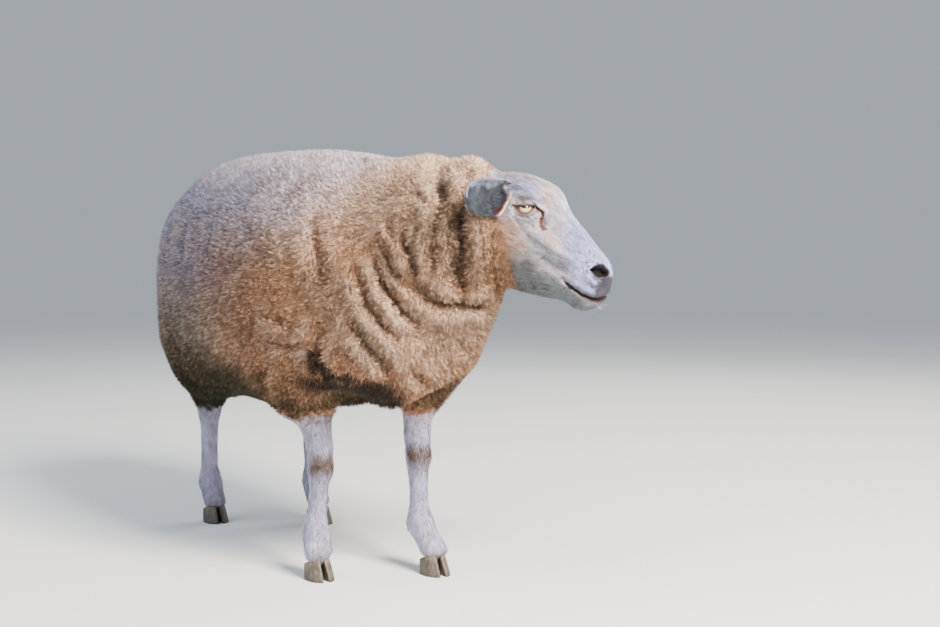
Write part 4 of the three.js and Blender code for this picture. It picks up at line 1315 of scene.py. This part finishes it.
def eyeball(side, sign):
    """A ball with a clear swell over the iris, painted round its line of sight."""
    sight = unit(SIDE * sign + 0.12 * LEVEL + 0.05 * UP)
    level_way = unit(np.cross(UP, sight)) * sign
    up_way = unit(np.cross(sight, level_way)) * sign
    rings = np.radians(np.concatenate([np.linspace(0.8, 44, 46), np.linspace(50, 172, 18)]))
    turns = np.linspace(0, 2 * math.pi, 112, endpoint=False)
    R, T = np.meshgrid(rings, turns, indexing="ij")
    reach = EYE_RADIUS + SWELL * np.clip(1 - (R / SWELL_EDGE) ** 2, 0, 1)
    x, y = np.sin(R) * np.cos(T), np.sin(R) * np.sin(T)
    ball = reach[..., None] * (np.stack([np.cos(R), x, y], -1) @ [sight, level_way, up_way])
    points = np.concatenate([ball.reshape(-1, 3), [sight * (EYE_RADIUS + SWELL), -sight * EYE_RADIUS]])
    index = np.arange(R.size).reshape(R.shape)
    index = np.column_stack([index, index[:, 0]])
    front = np.stack([np.full(len(turns), R.size), index[0, :-1], index[0, 1:]], -1)
    back = np.stack([np.full(len(turns), R.size + 1), index[-1, 1:], index[-1, :-1]], -1)
    mesh = mesh_of("eye", eye_centres[side] + points / 1000, [grid_quads(index), front, back])
    face_out(mesh)
    x, y = (np.append(v.ravel() * EYE_RADIUS, [0, 0]) for v in (x, y))
    behind = np.append((R > math.pi / 2).ravel(), [False, True])
    r, angle = np.where(behind, 30, np.hypot(x, y)), np.arctan2(y, x)
    rays = noise(np.column_stack([np.cos(angle) * 9, np.sin(angle) * 9, r * 0.25]), 1.0, 80)
    iris = mix(IRIS_GOLD, IRIS_PALE, np.clip(0.62 + 0.5 * rays, 0, 1)[:, None])
    iris = iris * (1 - 0.55 * ease(8.2, IRIS, r))[:, None]
    pupil = (np.abs(x) / PUPIL_LONG) ** 3 + (np.abs(y - PUPIL_UP) / PUPIL_HIGH) ** 3
    rgb = layered(EYE_WHITE, [(iris, ease(10.6, IRIS, r)), (DARK * 0.25, ease(1.3, 0.85, pupil))])
    paint(mesh, rgb, eye_mat)
    piece("eyeball_" + side, mesh, "eye", "eye_" + side)


for side, sign in SIDES.items():
    eyeball(side, sign)

# ---------- The claws and dewclaws ----------

HORN_DARK, HORN_PALE = np.array([(0.060, 0.050, 0.043), (0.22, 0.17, 0.125)])
SOLE = 0.0012
RING_STEP = 0.0046


def hooves(leg):
    """One foot's claws and dewclaws, with growth rings, fibres and a worn edge."""
    nodes = [f"{kind}_{leg}_{side}" for kind in ("claw", "dewclaw") for side in ("outer", "inner")]
    mesh = fused(nodes, HORN_VOXEL)
    soften(mesh, 0.5, 3)
    co = coords(mesh)
    z = co[:, 2]
    rings = np.sin(z * 2 * math.pi / RING_STEP + 2.0 * noise(co, 0.02, 81)) * ease(0.003, 0.008, z)
    fibres = noise(co * [1, 1, 0.12], 0.0022, 82)
    dents = np.clip(noise(co, 0.006, 83), -1, 0) * ease(0.012, 0.0, z)
    shape = (0.00028 * rings + 0.00018 * fibres + 0.0007 * dents) * (z >= SOLE)
    co = co + normals(mesh) * shape[:, None]
    co[:, 2] = np.where(z < SOLE, 0, np.maximum(co[:, 2], 0))
    set_coords(mesh, co)
    shade_smooth(mesh)
    pale = 0.18 + 0.55 * ease(0.022, 0.042, z) + 0.35 * fibres + 0.25 * noise(co, 0.012, 84)
    rgb = layered(HORN_DARK, [(HORN_PALE, pale), (BROWN * 0.8, 0.5 * ease(0.010, 0.001, z))])
    paint(mesh, rgb, horn_mat)
    piece("hooves_" + leg, mesh, "horn", *nodes)


for leg in LEGS:
    hooves(leg)

# ---------- Floor, light and camera ----------

CAMERA_PLACE = (-1.2482, -2.7708, 0.685)
CAMERA_LOOK = (0.4850, 0.8750)
CAMERA_PITCH = math.radians(3.96)
LENS, SENSOR = 58.4, 36
WORLD_COLOR, WORLD_STRENGTH = (0.80, 0.88, 1.0, 1), 0.52
FLOOR_COLOR, FLOOR_REACH, FLOOR_FADES = (0.78, 0.79, 0.79, 1), 60, (2.5, 8.0)


def aim(ob, place, look):
    ob.location = place
    ob.rotation_euler = Vector(look).to_track_quat("-Z", "Y").to_euler()


camera = add_object("camera", bpy.data.cameras.new("camera"))
aim(camera, CAMERA_PLACE, (*CAMERA_LOOK, -math.tan(CAMERA_PITCH) * math.hypot(*CAMERA_LOOK)))
camera.data.lens, camera.data.sensor_width = LENS, SENSOR
SCENE.camera = camera

for name, place, size, power, color in (
    ("key", (0.5, -3.3, 2.9), 1.5, 735, (1.0, 0.91, 0.79)),
    ("sky", (-2.6, 0.6, 3.0), 3.0, 90, (0.78, 0.86, 1.0)),
    ("rim", (2.4, 1.6, 2.4), 2.0, 50, (1.0, 0.95, 0.88)),
):
    light = bpy.data.lights.new(name, "AREA")
    light.shape, light.size, light.energy, light.color = "SQUARE", size, power, color
    aim(add_object(name, light), place, Vector((0, 0, 0.45)) - Vector(place))

world = bpy.data.worlds.new("world")
SCENE.world = world
world.use_nodes = True
sky = {"Color": WORLD_COLOR, "Strength": WORLD_STRENGTH}
feed(world, world.node_tree.nodes["Background"], sky)

floor_mesh = bpy.data.meshes.new("floor")
corners = [(x * FLOOR_REACH, y * FLOOR_REACH, 0) for x, y in ((-1, -1), (1, -1), (1, 1), (-1, 1))]
floor_mesh.from_pydata(corners, [], [(0, 1, 2, 3)])
floor = add_object("floor", floor_mesh)
floor_mat = material("floor", roughness=0.9, specular=0.1)
feed(floor_mat, shader_of(floor_mat), {"Base Color": FLOOR_COLOR})

# Far off the floor fades into the sky's own colour, so no horizon shows.
place = node(floor_mat, "NewGeometry"), "Position"
distance = node(floor_mat, "VectorMath", {0: place}, operation="LENGTH")
span = {"Value": (distance, "Value"), "From Min": FLOOR_FADES[0], "From Max": FLOOR_FADES[1]}
fade = node(floor_mat, "MapRange", span, interpolation_type="SMOOTHSTEP")
far = node(floor_mat, "Emission", sky), "Emission"
both = node(floor_mat, "MixShader", {0: (fade, "Result"), 1: (shader_of(floor_mat), "BSDF"), 2: far})
feed(floor_mat, floor_mat.node_tree.nodes["Material Output"], {"Surface": (both, "Shader")})
floor_mesh.materials.append(floor_mat)
